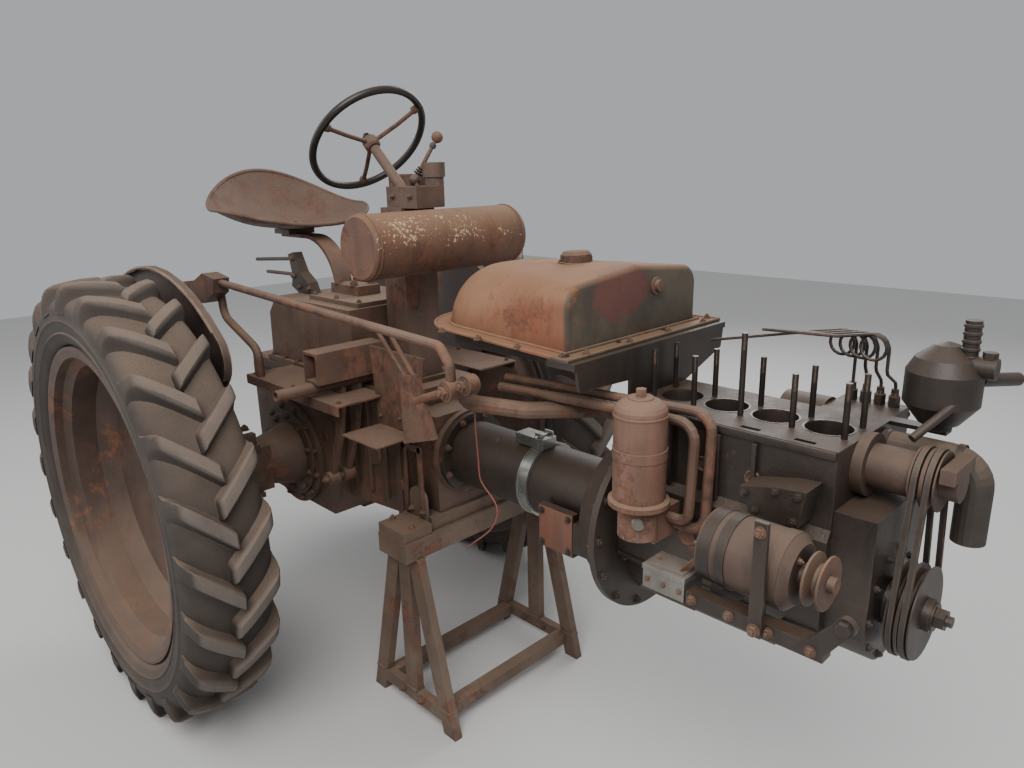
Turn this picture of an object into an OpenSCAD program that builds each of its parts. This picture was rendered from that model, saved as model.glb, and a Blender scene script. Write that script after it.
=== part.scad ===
// Vintage tractor in repair: rear wheels, gearbox, torque tube and open engine on a trestle stand.
// Drawn with +X forward and +Y to the tractor's left, from the middle of the rear axle,
// then moved so that the origin is at floor level under the middle of its length.

/* [Wheels and axle] */
// Rear tyre diameter over the lugs
wheel_d = 1340; // [1280:10:1440]
// Tyre section width
tyre_w = 245; // [230:5:270]
// Height of the tread lugs
lug_h = 34; // [24:2:44]
// Lugs on each side of the tread
lugs = 24; // [20:1:28]
// Diameter of the rim at the bead seat
rim_d = 914; // [860:2:960]
// Distance between the two wheel planes
track = 1400; // [1360:5:1480]
// Half shaft diameter
shaft_d = 64; // [50:1:76]
// Hub flange diameter
hub_d = 230; // [200:5:280]

/* [Gearbox] */
// Length of the gearbox housing behind the rear axle
housing_back = 250; // [220:5:300]
// Length of the gearbox housing ahead of the rear axle
housing_front = 620; // [600:5:660]
// Width of the axle part of the housing
housing_w = 340; // [320:5:380]
// Height of the housing's top above the axle
housing_rise = 320; // [300:5:340]
// Depth of the housing below the axle
housing_drop = 170; // [150:5:200]
// Height of the top cover on the housing
cover_h = 225; // [180:5:240]
// Length of the neck ahead of the gearbox
neck_l = 120; // [110:5:160]

/* [Torque tube] */
// Height of the crankshaft axis above the rear axle
crank_rise = 140; // [130:5:150]
// Torque tube diameter
tube_d = 190; // [170:5:210]
// Torque tube length
tube_l = 560; // [520:5:600]
// Bell housing length
bell_l = 90; // [80:5:120]

/* [Engine] */
// Cylinder bore
bore_d = 89; // [76:1:92]
// Distance between cylinder centres
bore_pitch = 109; // [106:1:116]
// Number of cylinders
cylinders = 4; // [3:1:4]
// Height of the head deck above the crankshaft
deck_rise = 312; // [290:2:330]
// Width of the cylinder block
block_w = 236; // [220:2:260]
// Depth of the crankcase and sump below the crankshaft
sump_drop = 165; // [150:5:185]
// Head stud diameter
stud_d = 12; // [10:1:14]
// Height of the head studs above the deck
stud_h = 106; // [80:2:130]
// Distance between the two rows of head studs
stud_row = 84; // [78:2:92]
// Timing cover thickness
timing_l = 96; // [80:2:110]
// Crankshaft pulley diameter
crank_pulley_d = 178; // [150:2:190]

/* [Engine fittings] */
// Oil filter canister diameter
filter_d = 107; // [90:1:116]
// Oil filter canister height
filter_h = 225; // [190:5:240]
// Dynamo body diameter
dynamo_d = 132; // [116:2:140]
// Dynamo body length
dynamo_l = 150; // [136:2:160]
// Dynamo pulley diameter
dynamo_pulley_d = 92; // [80:2:96]
// Air cleaner diameter
cleaner_d = 132; // [120:2:144]
// Coolant hose diameter
hose_d = 60; // [50:2:64]
// Oil pipe diameter
oil_pipe_d = 22; // [16:1:24]

/* [Fuel tank and air reservoir] */
// Fuel tank length
tank_l = 510; // [470:10:540]
// Fuel tank width over the flange at the front
tank_w = 576; // [540:4:600]
// Fuel tank height above the flange
tank_h = 160; // [140:5:180]
// Air reservoir diameter
reservoir_d = 172; // [150:2:190]
// Air reservoir length
reservoir_l = 560; // [500:10:600]

/* [Driver's place] */
// Seat pan width
seat_w = 570; // [520:10:590]
// Seat pan depth, front to back
seat_l = 465; // [430:5:490]
// Steering wheel diameter
steer_d = 385; // [360:5:420]
// Steering wheel rim thickness
steer_rim = 22; // [18:1:26]
// Angle of the steering column above the horizontal
steer_tilt = 43; // [40:1:45]
// Fender plate radius
fender_r = 637; // [600:1:650]

/* [Stand] */
// Distance between the feet of one trestle frame
stand_l = 400; // [340:10:460]
// Distance between the two trestle frames
stand_w = 540; // [480:10:600]
// Width of the trestle legs
leg_w = 52; // [40:2:60]

/* [Hidden] */

$fn = 48;
fit = 0.2;             // gap between two curved or close faces
shaft_play = 0.05;     // radial play of a shaft in its bearing
sheet = 4;             // pressed plate

// Heights above the floor
axle_z = wheel_d / 2;
crank_z = axle_z + crank_rise;
deck_z = crank_z + deck_rise;
housing_top = axle_z + housing_rise;
cover_top = housing_top + cover_h;

// Places along the tractor, from the rear axle
neck_x = housing_front + neck_l;
bell_x = neck_x + tube_l;
block_x = bell_x + bell_l;
end_wall = 14;
block_l = cylinders * bore_pitch + 2 * end_wall;
timing_x = block_x + block_l;
pulley_x = timing_x + timing_l;
block_mid = block_x + block_l / 2;
nose_x = pulley_x + 100;
mid_x = (nose_x - wheel_d / 2) / 2;

// Gearbox
gear_w = 280;
neck_w = 220;
cover_w = 340;
cover_flange = 12;
cover_x = 420;

// Wheels
rim_lip = 25;
rim_half = 92;
disc_in = 133;
shaft_flange = 20;
trumpet_end = track / 2 - disc_in - shaft_flange - 27;
shaft_in = 330;

// What is drawn along Z, turned to run from p towards q
module along(p, q) {
    v = q - p;
    translate(p) rotate([0, acos(v.z / norm(v)), atan2(v.y, v.x)]) children();
}

// A rod between two points
module rod(p, q, d) {
    along(p, q) cylinder(d = d, h = norm(q - p));
}

// A tube swept along points whose corners are rounded to radius r, as one closed surface
function unit(v) = v / norm(v);
function rounded(pts, r, steps) = let (last = len(pts) - 1) [for (i = [0 : last])
    if (i == 0 || i == last) pts[i]
    else let (b = pts[i], u = unit(b - pts[i - 1]), w = unit(pts[i + 1] - b), turn = acos(min(1, u * w)))
        if (turn < 2) b
        else let (cut = min(r * tan(turn / 2), norm(b - pts[i - 1]) * 0.48, norm(pts[i + 1] - b) * 0.48),
            bend = cut / tan(turn / 2), m = unit(w - u), mid = b + m * bend / cos(turn / 2))
            each [for (k = [0 : steps]) let (a = turn * (k / steps - 0.5))
                mid - bend * (m * cos(a) - unit(u + w) * sin(a))]];
function carried(dirs, n, i = 0) = i == len(dirs) ? []
    : let (m = unit(n - (n * dirs[i]) * dirs[i])) concat([m], carried(dirs, m, i + 1));
module tube(pts, d, r, steps = 5, sides = 12) {
    path = rounded(pts, r, steps);
    last = len(path) - 1;
    dirs = [for (i = [0 : last]) unit(path[min(last, i + 1)] - path[max(0, i - 1)])];
    first = abs(dirs[0].z) < 0.9 ? [0, 0, 1] : [0, 1, 0];
    normals = carried(dirs, first);
    rings = [for (i = [0 : last]) let (s = normals[i], t = cross(dirs[i], s))
        each [for (k = [0 : sides - 1]) path[i] + d / 2 * (cos(k * 360 / sides) * s + sin(k * 360 / sides) * t)]];
    walls = [for (i = [0 : last - 1], k = [0 : sides - 1]) let (a = i * sides + k, b = i * sides + (k + 1) % sides)
        [a, a + sides, b + sides, b]];
    polyhedron(rings, concat(walls, [[for (k = [0 : sides - 1]) k],
        [for (k = [sides - 1 : -1 : 0]) last * sides + k]]));
}

// A block from one corner to the opposite one
module block(a, b) {
    translate([min(a.x, b.x), min(a.y, b.y), min(a.z, b.z)])
        cube([abs(b.x - a.x), abs(b.y - a.y), abs(b.z - a.z)]);
}

// A profile drawn in X and Z, extruded along Y from y0 to y1
module plate_xz(y0, y1) {
    translate([0, y1, 0]) rotate([90, 0, 0]) linear_extrude(y1 - y0) children();
}

// A profile drawn in Y and Z, extruded along X from x0 to x1
module plate_yz(x0, x1) {
    translate([x0, 0, 0]) rotate([90, 0, 90]) linear_extrude(x1 - x0) children();
}

module along_y() { rotate([-90, 0, 0]) children(); }
module along_x() { rotate([0, 90, 0]) children(); }
module place() { translate([-mid_x, 0, 0]) children(); }
module left_side() { place() children(); }
module right_side() { place() mirror([0, 1, 0]) children(); }
module both_sides() {
    left_side() children();
    right_side() children();
}
module wheel_place() { translate([0, track / 2, axle_z]) along_y() children(); }

// Tyre: the profile holds radius and half width, and the lugs slant back from the middle to the shoulders
lug_top = 30;          // width of a lug's face
lug_foot = 56;         // width of a lug where it meets the carcass
lug_slant = 46;        // angle of a lug to the wheel plane
module tyre() {
    sides = 40;
    r0 = (rim_d / 2 + fit) / cos(180 / sides);
    w = tyre_w / 2;
    r1 = wheel_d / 2 - lug_h;
    half = [[r0, rim_half - 1], [r0 + rim_lip + 4, rim_half - 1], [r0 + 44, w - 10], [r0 + 88, w - 1],
        [r1 - 40, w - 4], [r1 - 12, w - 24], [r1, w - 74]];
    rotate_extrude($fn = sides)
        polygon(concat(half, [for (i = [len(half) - 1 : -1 : 0]) [half[i].x, -half[i].y]]));
    for (i = [0 : lugs - 1], s = [-1, 1]) rotate(360 * (i + (s > 0 ? 0.5 : 0)) / lugs) lug(s, r1, w);
}

// One lug from the middle to the shoulder: distance from the middle, radius of its face, radius of its foot
module lug(s, r1, w) {
    r_tip = wheel_d / 2;
    stations = [[-14, r_tip, r1 - 12], [w - 18, r_tip - 8, r1 - 42]];
    face = lug_top / 2 / sin(lug_slant);
    foot = lug_foot / 2 / sin(lug_slant);
    points = [for (t = stations) let (along_arc = -t[0] / tan(lug_slant))
        each [for (e = [[-foot, t[2]], [-face, t[1]], [face, t[1]], [foot, t[2]]])
            let (a = (along_arc + e[0]) / r_tip * 180 / PI) [e[1] * cos(a), e[1] * sin(a), s * t[0]]]];
    hull() polyhedron(points, [[0, 1, 2, 3], [7, 6, 5, 4], for (e = [0 : 3]) [e, 4 + e, 4 + (e + 1) % 4, (e + 1) % 4]]);
}
module tyre_left() color([0.16, 0.14, 0.13]) left_side() wheel_place() tyre();
module tyre_right() color([0.16, 0.14, 0.13]) right_side() wheel_place() tyre();

// Rim with its well and the dished disc bolted to the hub
module rim() {
    r = rim_d / 2;
    t = 7;
    well = r - 28;
    outer = [[r + rim_lip, -rim_half - 12], [r + rim_lip, -rim_half - 4], [r, -rim_half], [r - 2, -70],
        [well, -52], [well, 52], [r - 2, 70], [r, rim_half], [r + rim_lip, rim_half + 4],
        [r + rim_lip, rim_half + 12]];
    inner = [[r + rim_lip - t, rim_half + 12], [r - t, rim_half + 6], [r - 2 - t, 70 + 2],
        [well - t, 52 + 2], [well - t, -52 - 2], [r - 2 - t, -70 - 2], [r - t, -rim_half - 6],
        [r + rim_lip - t, -rim_half - 12]];
    hub = 61;
    disc = [[well - t, -20], [well - t, -44], [well - 60, -84], [210, -disc_in + 8], [170, -disc_in],
        [hub, -disc_in], [hub, -disc_in + 10], [166, -disc_in + 10], [208, -disc_in + 20],
        [well - 52, -70]];
    rotate_extrude($fn = 72) polygon(concat(outer, inner));
    rotate_extrude($fn = 72) polygon(disc);
}
module rim_left() color([0.3, 0.16, 0.11]) left_side() wheel_place() rim();
module rim_right() color([0.3, 0.16, 0.11]) right_side() wheel_place() rim();

// Half shaft with its hub flange, pilot and cap
module half_shaft() {
    flange_y = -disc_in - shaft_flange;
    inner = shaft_in + 2 - track / 2;
    translate([0, 0, inner]) cylinder(d = shaft_d, h = flange_y - inner);
    translate([0, 0, flange_y]) cylinder(d = hub_d, h = shaft_flange);
    translate([0, 0, -disc_in]) cylinder(d = 121, h = 26);
    translate([0, 0, -disc_in + 26]) cylinder(d = 84, h = 30);
}
module half_shaft_left() color([0.26, 0.16, 0.12]) left_side() wheel_place() half_shaft();
module half_shaft_right() color([0.26, 0.16, 0.12]) right_side() wheel_place() half_shaft();

// Axle trumpets with the spring clamp pads and the bearing ends
module trumpet() {
    y0 = housing_w / 2;
    pad = 152;
    difference() {
        union() {
            translate([0, y0, axle_z]) along_y() cylinder(d = 300, h = 22);
            translate([0, y0 + 22, axle_z]) along_y() cylinder(d1 = 220, d2 = 150, h = 300 - y0);
            block([-pad / 2, 300, axle_z - pad / 2], [pad / 2, trumpet_end - 40, axle_z + pad / 2]);
            translate([0, trumpet_end - 50, axle_z]) along_y() cylinder(d = 206, h = 50);
            // clamp cap and its two ears over the pad
            block([-pad / 2 - 14, 340, axle_z + pad / 2], [pad / 2 + 14, 410, axle_z + pad / 2 + 16]);
            for (x = [-pad / 2, pad / 2 - 26])
                block([x, 345, axle_z + pad / 2 + 16], [x + 26, 405, axle_z + pad / 2 + 52]);
            block([-pad / 2 - 14, 340, axle_z - pad / 2 - 16], [pad / 2 + 14, 410, axle_z - pad / 2]);
        }
        translate([0, shaft_in, axle_z]) along_y() cylinder(d = shaft_d + 2 * shaft_play, h = track);
    }
}
module axle_trumpets() color([0.33, 0.2, 0.14]) both_sides() trumpet();

// Fender plates on the trumpet ends, each with a rolled edge
module fender_sector(r0, r1, a0, a1) {
    steps = 12;
    outer = [for (i = [0 : steps]) let (a = a0 + (a1 - a0) * i / steps) r1 * [cos(a), sin(a)]];
    inner = [for (i = [steps : -1 : 0]) let (a = a0 + (a1 - a0) * i / steps) r0 * [cos(a), sin(a)]];
    polygon(concat(outer, inner));
}
fender_at = [-100, 40];          // middle of the fender's arc, from the axle
module fender() {
    corner = 80;
    r0 = 90;
    a0 = 47;
    a1 = 150;
    y0 = trumpet_end;
    rolled = 18;
    translate([fender_at.x, 0, axle_z + fender_at.y]) {
        plate_xz(y0, y0 + sheet) difference() {
            union() {
                fender_sector(r0, fender_r, a0, a1);
                rotate(a0) translate([fender_r - corner, 0]) circle(r = corner);
                rotate(a0) translate([r0, -corner]) square([fender_r - corner - r0, corner + 1]);
                translate(-fender_at) circle(d = 206);
            }
            translate(-fender_at) circle(d = hub_d - 60);
        }
        plate_xz(y0 + sheet - 1, y0 + sheet + rolled) fender_sector(fender_r - 10, fender_r, a0, a1);
        plate_xz(y0 + sheet - 1, y0 + sheet + rolled) rotate(a0) intersection() {
            difference() {
                translate([fender_r - corner, 0]) circle(r = corner);
                translate([fender_r - corner, 0]) circle(r = corner - 10);
            }
            translate([fender_r - corner, -corner]) square([corner, corner]);
        }
    }
}
module fender_plates() color([0.2, 0.17, 0.16]) both_sides() fender();

// Gearbox: the side profile holds X and height above the axle
module gearbox_housing() color([0.32, 0.18, 0.14]) place() {
    half = housing_w / 2;
    translate([0, 0, axle_z]) {
        plate_xz(-half, half) polygon([[-housing_back, -90], [-housing_back + 60, -housing_drop],
            [230, -housing_drop], [290, -90], [290, housing_rise], [-housing_back + 30, housing_rise],
            [-housing_back, housing_rise - 40]]);
        plate_xz(-gear_w / 2, gear_w / 2) polygon([[289, -90], [housing_front, -60],
            [housing_front, housing_rise], [289, housing_rise]]);
        plate_xz(-gear_w / 2 - 18, gear_w / 2 + 18) polygon([[housing_front - 40, -78], [housing_front - 16, -78],
            [housing_front - 16, housing_rise - 20], [housing_front - 40, housing_rise - 20]]);
    }
    block([housing_front, -neck_w / 2, axle_z - 30], [neck_x - 20, neck_w / 2, crank_z + tube_d / 2 + 30]);
    translate([neck_x - 20, 0, crank_z]) along_x() cylinder(d = tube_d + 60, h = 20);
    // rear cover with the power take-off boss
    translate([-housing_back - 24, 0, axle_z]) along_x() cylinder(d = 250, h = 24);
    translate([-housing_back - 60, 0, axle_z]) along_x() cylinder(d = 96, h = 36);
    for (s = [-1, 1]) translate([0, 0, axle_z])
        plate_xz(s * half - (s > 0 ? 0 : 14), s * half + (s > 0 ? 14 : 0))
            difference() {
                circle(d = 360);
                circle(d = 302);
            }
}

// Top cover with its sloping ends
module transmission_cover() color([0.36, 0.22, 0.16]) place() {
    x0 = -90;
    x1 = cover_x;
    w = cover_w;
    e = w / 2 + cover_flange;
    block([x0 - 14, -e, housing_top], [x1 + 14, e, housing_top + 16]);
    plate_xz(-w / 2, w / 2) polygon([[x0, housing_top + 8], [x1, housing_top + 8], [x1 - 8, cover_top],
        [x0 + 60, cover_top], [x0 + 8, cover_top - 60]]);
    block([120, -w / 2 + 40, cover_top - 4], [x1 - 20, w / 2 - 40, cover_top + 14]);
}

// Foot plates beside the cover, and the sheet box ahead of the right one
foot_w = 345;
module foot_plates() color([0.34, 0.22, 0.16]) place() {
    edge = cover_w / 2 + cover_flange;
    for (s = [-1, 1]) {
        difference() {
            block([60, s * edge, housing_top], [590, s * foot_w, housing_top + 5]);
            if (s < 0) block([linkage_x - 92, -268, housing_top - 1], [linkage_x + 12, -162, housing_top + 6]);
        }
        block([60, s * (foot_w - 5), housing_top - 24], [590, s * foot_w, housing_top]);
    }
    x0 = housing_front + 4;
    low = housing_top - 85;
    plate_xz(-200, -196) polygon([[x0 - 53, low - 5], [x0 + 123, low + 14], [x0 + 174, housing_top + 146],
        [x0 - 73, housing_top + 146]]);
    block([x0 - 48, -330, low], [x0 + 118, -199, low + 4]);
    block([x0 - 19, -197, housing_top - 40], [x0 - 4, -gear_w / 2, housing_top - 24]);
}

// Seat pan: a dished shell, higher at the back
seat_place = [-150, -15, cover_top + 280];
seat_t = 5;
function seat_z(u, v) = 140 * pow(max(0, -u), 2) + 14 * pow(abs(v), 3)
    - 66 * (1 - pow(min(1, norm([u, v])), 2.4)) - 44 * pow(max(0, u), 2);
function seat_ring(k, drop) = [for (i = [0 : 31]) let (a = i * 360 / 32,
    u = k * cos(a), v = k * sin(a)) [u * seat_l / 2, v * seat_w / 2, seat_z(u, v) - drop]];
module shell(tops, bottoms, n, top_centre, bottom_centre) {
    m = len(tops) / n;
    last = len(tops) - n;
    half = len(tops);
    pts = concat(tops, bottoms, [top_centre, bottom_centre]);
    skins = [for (r = [0 : m - 2], i = [0 : n - 1]) let (a = r * n + i, b = r * n + (i + 1) % n) each [
        [a, a + n, b + n], [a, b + n, b], [half + a, half + b + n, half + a + n], [half + a, half + b, half + b + n]]];
    rims = [for (i = [0 : n - 1]) let (a = i, b = (i + 1) % n) each [
        [last + a, 2 * half, last + b], [half + last + a, half + last + b, 2 * half + 1],
        [a, b, half + b], [a, half + b, half + a]]];
    polyhedron(pts, concat(skins, rims));
}
seat_rings = [1, 0.92, 0.8, 0.62, 0.42, 0.2];
module seat_pan() color([0.42, 0.26, 0.19]) place() translate(seat_place)
    shell([for (k = seat_rings) each seat_ring(k, 0)], [for (k = seat_rings) each seat_ring(k, seat_t)], 32,
        [0, 0, seat_z(0, 0)], [0, 0, seat_z(0, 0) - seat_t]);

// Leaf spring: a quarter bend from its foot on the cover back under the pan
spring_at = [-30, -10, cover_top + 14];     // middle of the bend
spring_r = 178;
spring_w = 60;
spring_t = 12;
module seat_spring() color([0.4, 0.25, 0.18]) place() {
    y0 = spring_at.y - spring_w / 2;
    y1 = spring_at.y + spring_w / 2;
    top = spring_at.z + spring_r;
    foot_x = spring_at.x + spring_r;
    plate_xz(y0, y1) {
        intersection() {
            translate([spring_at.x, spring_at.z]) difference() {
                circle(r = spring_r, $fn = 96);
                circle(r = spring_r - spring_t, $fn = 96);
            }
            translate([spring_at.x, spring_at.z]) square(spring_r);
        }
        translate([seat_place.x - 40, top - spring_t]) square([spring_at.x - seat_place.x + 41, spring_t]);
    }
    block([seat_place.x - 50, spring_at.y - 50, top - 1],
        [seat_place.x + 50, spring_at.y + 50, seat_place.z + seat_z(0, 0) - seat_t - 1]);
    block([foot_x - 18, y0 - 12, spring_at.z], [foot_x + 140, y1 + 12, spring_at.z + 31]);
}

// Two hand levers on one quadrant behind the cover
module hand_levers() color([0.13, 0.11, 0.1]) place() {
    y = spring_at.y - 56;
    top = cover_top;
    plate_xz(y - 18, y + 18) polygon([[-28, top], [60, top], [40, top + 40], [-10, top + 72], [-46, top + 136],
        [-78, top + 128], [-60, top + 60], [-70, top + 20]]);
    rod([-50, y - 8, top + 114], [-326, y - 8, top + 94], 13);
    rod([-50, y + 10, top + 56], [-289, y + 10, top + 50], 13);
}

// Long brake rod with its rear bracket and the post that stands on the foot plate
rod_y = -350;
rod_d = 23;
function rod_z(x) = cover_top + 59 - (x - 114) * 0.0415;
module brake_rod() color([0.42, 0.28, 0.21]) place() {
    x1 = swivel_x - 34;
    rear = rod_z(-100);
    post_y = rod_y + 24;
    tube([[-70, rod_y, rod_z(-70)], [x1, rod_y, rod_z(x1)], [swivel_x, rod_y, rod_z(x1) - 40],
        [swivel_x, rod_y, bar_z + 23 + fit]], rod_d, 30);
    plate_xz(rod_y - 26, rod_y + 26) polygon([[-345, rear - 62], [-250, rear - 88], [-120, rear - 74],
        [-40, rear - 34], [-26, rear + 12], [-110, rear + 24], [-180, rear - 6], [-300, rear - 20]]);
    tube([[-100, post_y, rear - 30], [-90, post_y, rear - 120], [120, post_y, housing_top + 90],
        [120, post_y, housing_top + 5]], 26, 50);
}

// Cross channel, cross pipe and the two hanging levers
linkage_x = cover_x + 50;
swivel_x = bell_x - 214;
bar_z = housing_top + 150;
module pedal_linkage() color([0.3, 0.19, 0.15]) place() {
    z = housing_top + 50;
    lever_z = housing_top - 294;
    difference() {
        block([linkage_x - 30, -350, z], [linkage_x + 40, -gear_w / 2 + 20, z + 90]);
        block([linkage_x - 24, -351, z + 8], [linkage_x + 34, -gear_w / 2, z + 82]);
    }
    block([linkage_x - 30, -gear_w / 2, housing_top], [linkage_x + 40, -gear_w / 2 + 20, z + 1]);
    translate([linkage_x, -460, z - 14]) along_y() difference() {
        cylinder(d = 34, h = 460 - gear_w / 2);
        translate([0, 0, -1]) cylinder(d = 24, h = 60);
    }
    for (y = [-250, -cover_w / 2 - cover_flange - 13]) {
        plate_xz(y - 7, y + 7) polygon([[linkage_x - 48, z + 58], [linkage_x - 19, z + 61], [linkage_x + 2, z + 12],
            [linkage_x + 10, z - 60], [linkage_x - 22, z - 190], [linkage_x - 88, lever_z + 12],
            [linkage_x - 104, lever_z + 4], [linkage_x - 52, z - 190], [linkage_x - 26, z - 60],
            [linkage_x - 34, z + 14]]);
        translate([linkage_x - 101, y - 18, lever_z]) along_y() cylinder(d = 44, h = 36);
    }
    // upright slab ahead of the levers with two struts, and the rod's swivel with its link
    slab_y = rod_y + 50;
    plate_xz(slab_y, slab_y + 14) polygon([[swivel_x - 261, bar_z - 205], [swivel_x - 136, bar_z - 165],
        [swivel_x - 196, bar_z - 10], [swivel_x - 261, bar_z - 25]]);
    rod([swivel_x - 372, slab_y + 7, bar_z + 92], [swivel_x - 240, slab_y + 7, bar_z - 30], 12);
    rod([swivel_x - 312, slab_y + 7, bar_z + 88], [swivel_x - 202, slab_y + 7, bar_z - 26], 12);
    translate([swivel_x, rod_y - 20, bar_z]) along_y() cylinder(d = 46, h = 84);
    rod([swivel_x, slab_y, bar_z], [swivel_x - 206, slab_y + 7, bar_z - 80], 22);
    translate([swivel_x + 50, rod_y - 6, bar_z + 20]) along_y() cylinder(d = 44, h = 30);
    rod([swivel_x, rod_y + 8, bar_z], [swivel_x + 50, rod_y + 8, bar_z + 20], 18);
}

// Torque tube
module torque_tube() color([0.17, 0.12, 0.11]) place() {
    translate([neck_x, 0, crank_z]) along_x() cylinder(d = tube_d, h = tube_l);
    translate([neck_x, 0, crank_z]) along_x() cylinder(d = tube_d + 50, h = 18);
}

// Clamp band round the torque tube
clamp_x = neck_x + 292;
module tube_clamp() color([0.5, 0.52, 0.5]) place() {
    translate([clamp_x, 0, crank_z]) along_x() difference() {
        cylinder(d = tube_d + 12, h = 34);
        translate([0, 0, -1]) cylinder(d = tube_d + 2 * fit, h = 36);
    }
    block([clamp_x - 60, -40, crank_z + tube_d / 2 + fit], [clamp_x + 40, 10, crank_z + tube_d / 2 + 28]);
}

// Bell housing with its square inspection plate
module bell_housing() color([0.16, 0.12, 0.11]) place() {
    translate([bell_x, 0, crank_z]) along_x() cylinder(d1 = 330, d2 = 420, h = bell_l - 16);
    translate([block_x - 16, 0, crank_z]) along_x() cylinder(d = 440, h = 16);
    block([bell_x - 160, -130, crank_z - 112], [bell_x - 48, -110, crank_z]);
    block([bell_x - 60, -130, crank_z - 98], [bell_x + 2, -110, crank_z - 20]);
}

// Cylinder block with open bores, slots and side covers
bores = [for (i = [0 : cylinders - 1]) block_mid + (i - (cylinders - 1) / 2) * bore_pitch];
stud_xs = [for (i = [0 : cylinders]) block_mid + (i - cylinders / 2) * bore_pitch
    + (i == 0 ? 8 : i == cylinders ? -8 : 0)];
stud_seat = 24;        // depth of a stud in the deck
bore_l = 190;          // length of a cylinder's wall, over the open crankcase
module engine_block() color([0.2, 0.16, 0.14]) place() {
    half = block_w / 2;
    side = half + 14;
    difference() {
        union() {
            plate_yz(block_x, timing_x) polygon([[-half, deck_z], [half, deck_z], [half, deck_z - 150],
                [side, deck_z - 170], [side, crank_z - 40], [-side, crank_z - 40], [-side, deck_z - 170],
                [-half, deck_z - 150]]);
            // water outlet on the right side near the front
            plate_xz(-side - 50, -half + 10) polygon([[timing_x - 148, deck_z - 84], [timing_x - 124, deck_z - 133],
                [timing_x - 34, deck_z - 133], [timing_x - 22, deck_z - 62], [timing_x - 66, deck_z - 66]]);
        }
        for (x = bores) {
            translate([x, 0, deck_z - bore_l - 1]) cylinder(d = bore_d, h = bore_l + 11);
            translate([x, 0, crank_z - 41]) cylinder(d = bore_d + 8, h = deck_rise + 41 - bore_l);
        }
        for (x = bores) translate([x - 20, -half + 12, deck_z - 30]) cube([40, 12, 40]);
        for (x = stud_xs, s = [-1, 1]) translate([x, s * stud_row / 2, deck_z - stud_seat])
            cylinder(d = stud_d + 2 * fit, h = stud_seat + 1);
    }
}

// Head studs in two rows
module head_studs() color([0.15, 0.13, 0.12]) place() {
    for (i = [0 : cylinders], s = [-1, 1]) translate([stud_xs[i], s * stud_row / 2, deck_z]) {
        translate([0, 0, -stud_seat]) cylinder(d = stud_d - 1.8, h = stud_seat + 1);
        cylinder(d = stud_d, h = stud_h + (i == 2 && s < 0 ? 64 : 0));
    }
}

// Sump: deep at the back and shallow ahead
module sump() color([0.12, 0.1, 0.09]) place() {
    half = block_w / 2 - 10;
    top = crank_z - 40;
    step_x = timing_x - 119;
    intersection() {
        plate_yz(block_x, timing_x) polygon([[-half, top], [half, top], [half - 20, crank_z - 120],
            [half - 60, crank_z - sump_drop], [-half + 60, crank_z - sump_drop], [-half + 20, crank_z - 120]]);
        plate_xz(-half - 1, half + 1) polygon([[block_x - 1, top + 1], [timing_x + 1, top + 1],
            [timing_x + 1, crank_z - 90], [step_x + 25, crank_z - 90], [step_x, crank_z - sump_drop - 1],
            [block_x - 1, crank_z - sump_drop - 1]]);
    }
}

// Timing cover
module timing_cover() color([0.15, 0.12, 0.11]) place() {
    plate_yz(timing_x, pulley_x - 20) {
        translate([0, crank_z]) circle(d = 230);
        translate([-110, crank_z]) square([220, pump_z - crank_z - 62]);
        translate([-110, crank_z - 40]) square([220, 80]);
    }
    translate([pulley_x - 20, 0, crank_z]) along_x() cylinder(d = 90, h = 20);
}

// Crankshaft pulley with two grooves
module v_pulley(d, w, grooves, bore) {
    n = grooves;
    pitch = w / n;
    rim = [for (i = [0 : n - 1]) each [[d / 2, i * pitch], [d / 2, i * pitch + pitch * 0.14],
        [d / 2 - pitch * 0.6, i * pitch + pitch * 0.4], [d / 2 - pitch * 0.6, i * pitch + pitch * 0.6],
        [d / 2, i * pitch + pitch * 0.86], [d / 2, (i + 1) * pitch]]];
    rotate_extrude() polygon(concat([[bore / 2, 0]], rim, [[bore / 2, w]]));
}
module crank_pulley() color([0.14, 0.12, 0.11]) place() {
    translate([pulley_x, 0, crank_z]) along_x() v_pulley(crank_pulley_d, 44, 2, 30);
    translate([pulley_x, 0, crank_z]) along_x() cylinder(d = 62, h = 58);
}

// Two V belts round the crank and pump pulleys
pump_z = deck_z - 52;
pump_pulley_d = 110;
module fan_belts() color([0.1, 0.09, 0.08]) place() {
    for (i = [0, 1]) {
        x = pulley_x + 6 + 22 * i;
        plate_yz(x, x + 10) difference() {
            belt_outline(3);
            belt_outline(-6);
        }
    }
}
module belt_outline(grow) {
    r0 = crank_pulley_d / 2 + grow;
    r1 = pump_pulley_d / 2 + grow;
    z0 = crank_z;
    z1 = pump_z;
    a = asin((r0 - r1) / (z1 - z0));
    translate([0, z0]) circle(r = r0);
    translate([0, z1]) circle(r = r1);
    polygon([[r0 * cos(a), z0 + r0 * sin(a)], [r1 * cos(a), z1 + r1 * sin(a)],
        [-r1 * cos(a), z1 + r1 * sin(a)], [-r0 * cos(a), z0 + r0 * sin(a)]]);
}

// Water pump with its pulley and flange arm
module water_pump() color([0.35, 0.22, 0.17]) place() {
    translate([timing_x, 0, pump_z]) along_x() cylinder(d = 120, h = 20);
    translate([timing_x + 20, 0, pump_z]) along_x() cylinder(d = 84, h = timing_l - 20);
    translate([pulley_x, 0, pump_z]) along_x() v_pulley(pump_pulley_d, 44, 2, 20);
    translate([pulley_x + 44, 0, pump_z]) along_x() cylinder(d = 60, h = 30);
    block([pulley_x + 50, -55, pump_z + 16], [pulley_x + 74, 55, pump_z + 42]);
}

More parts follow.
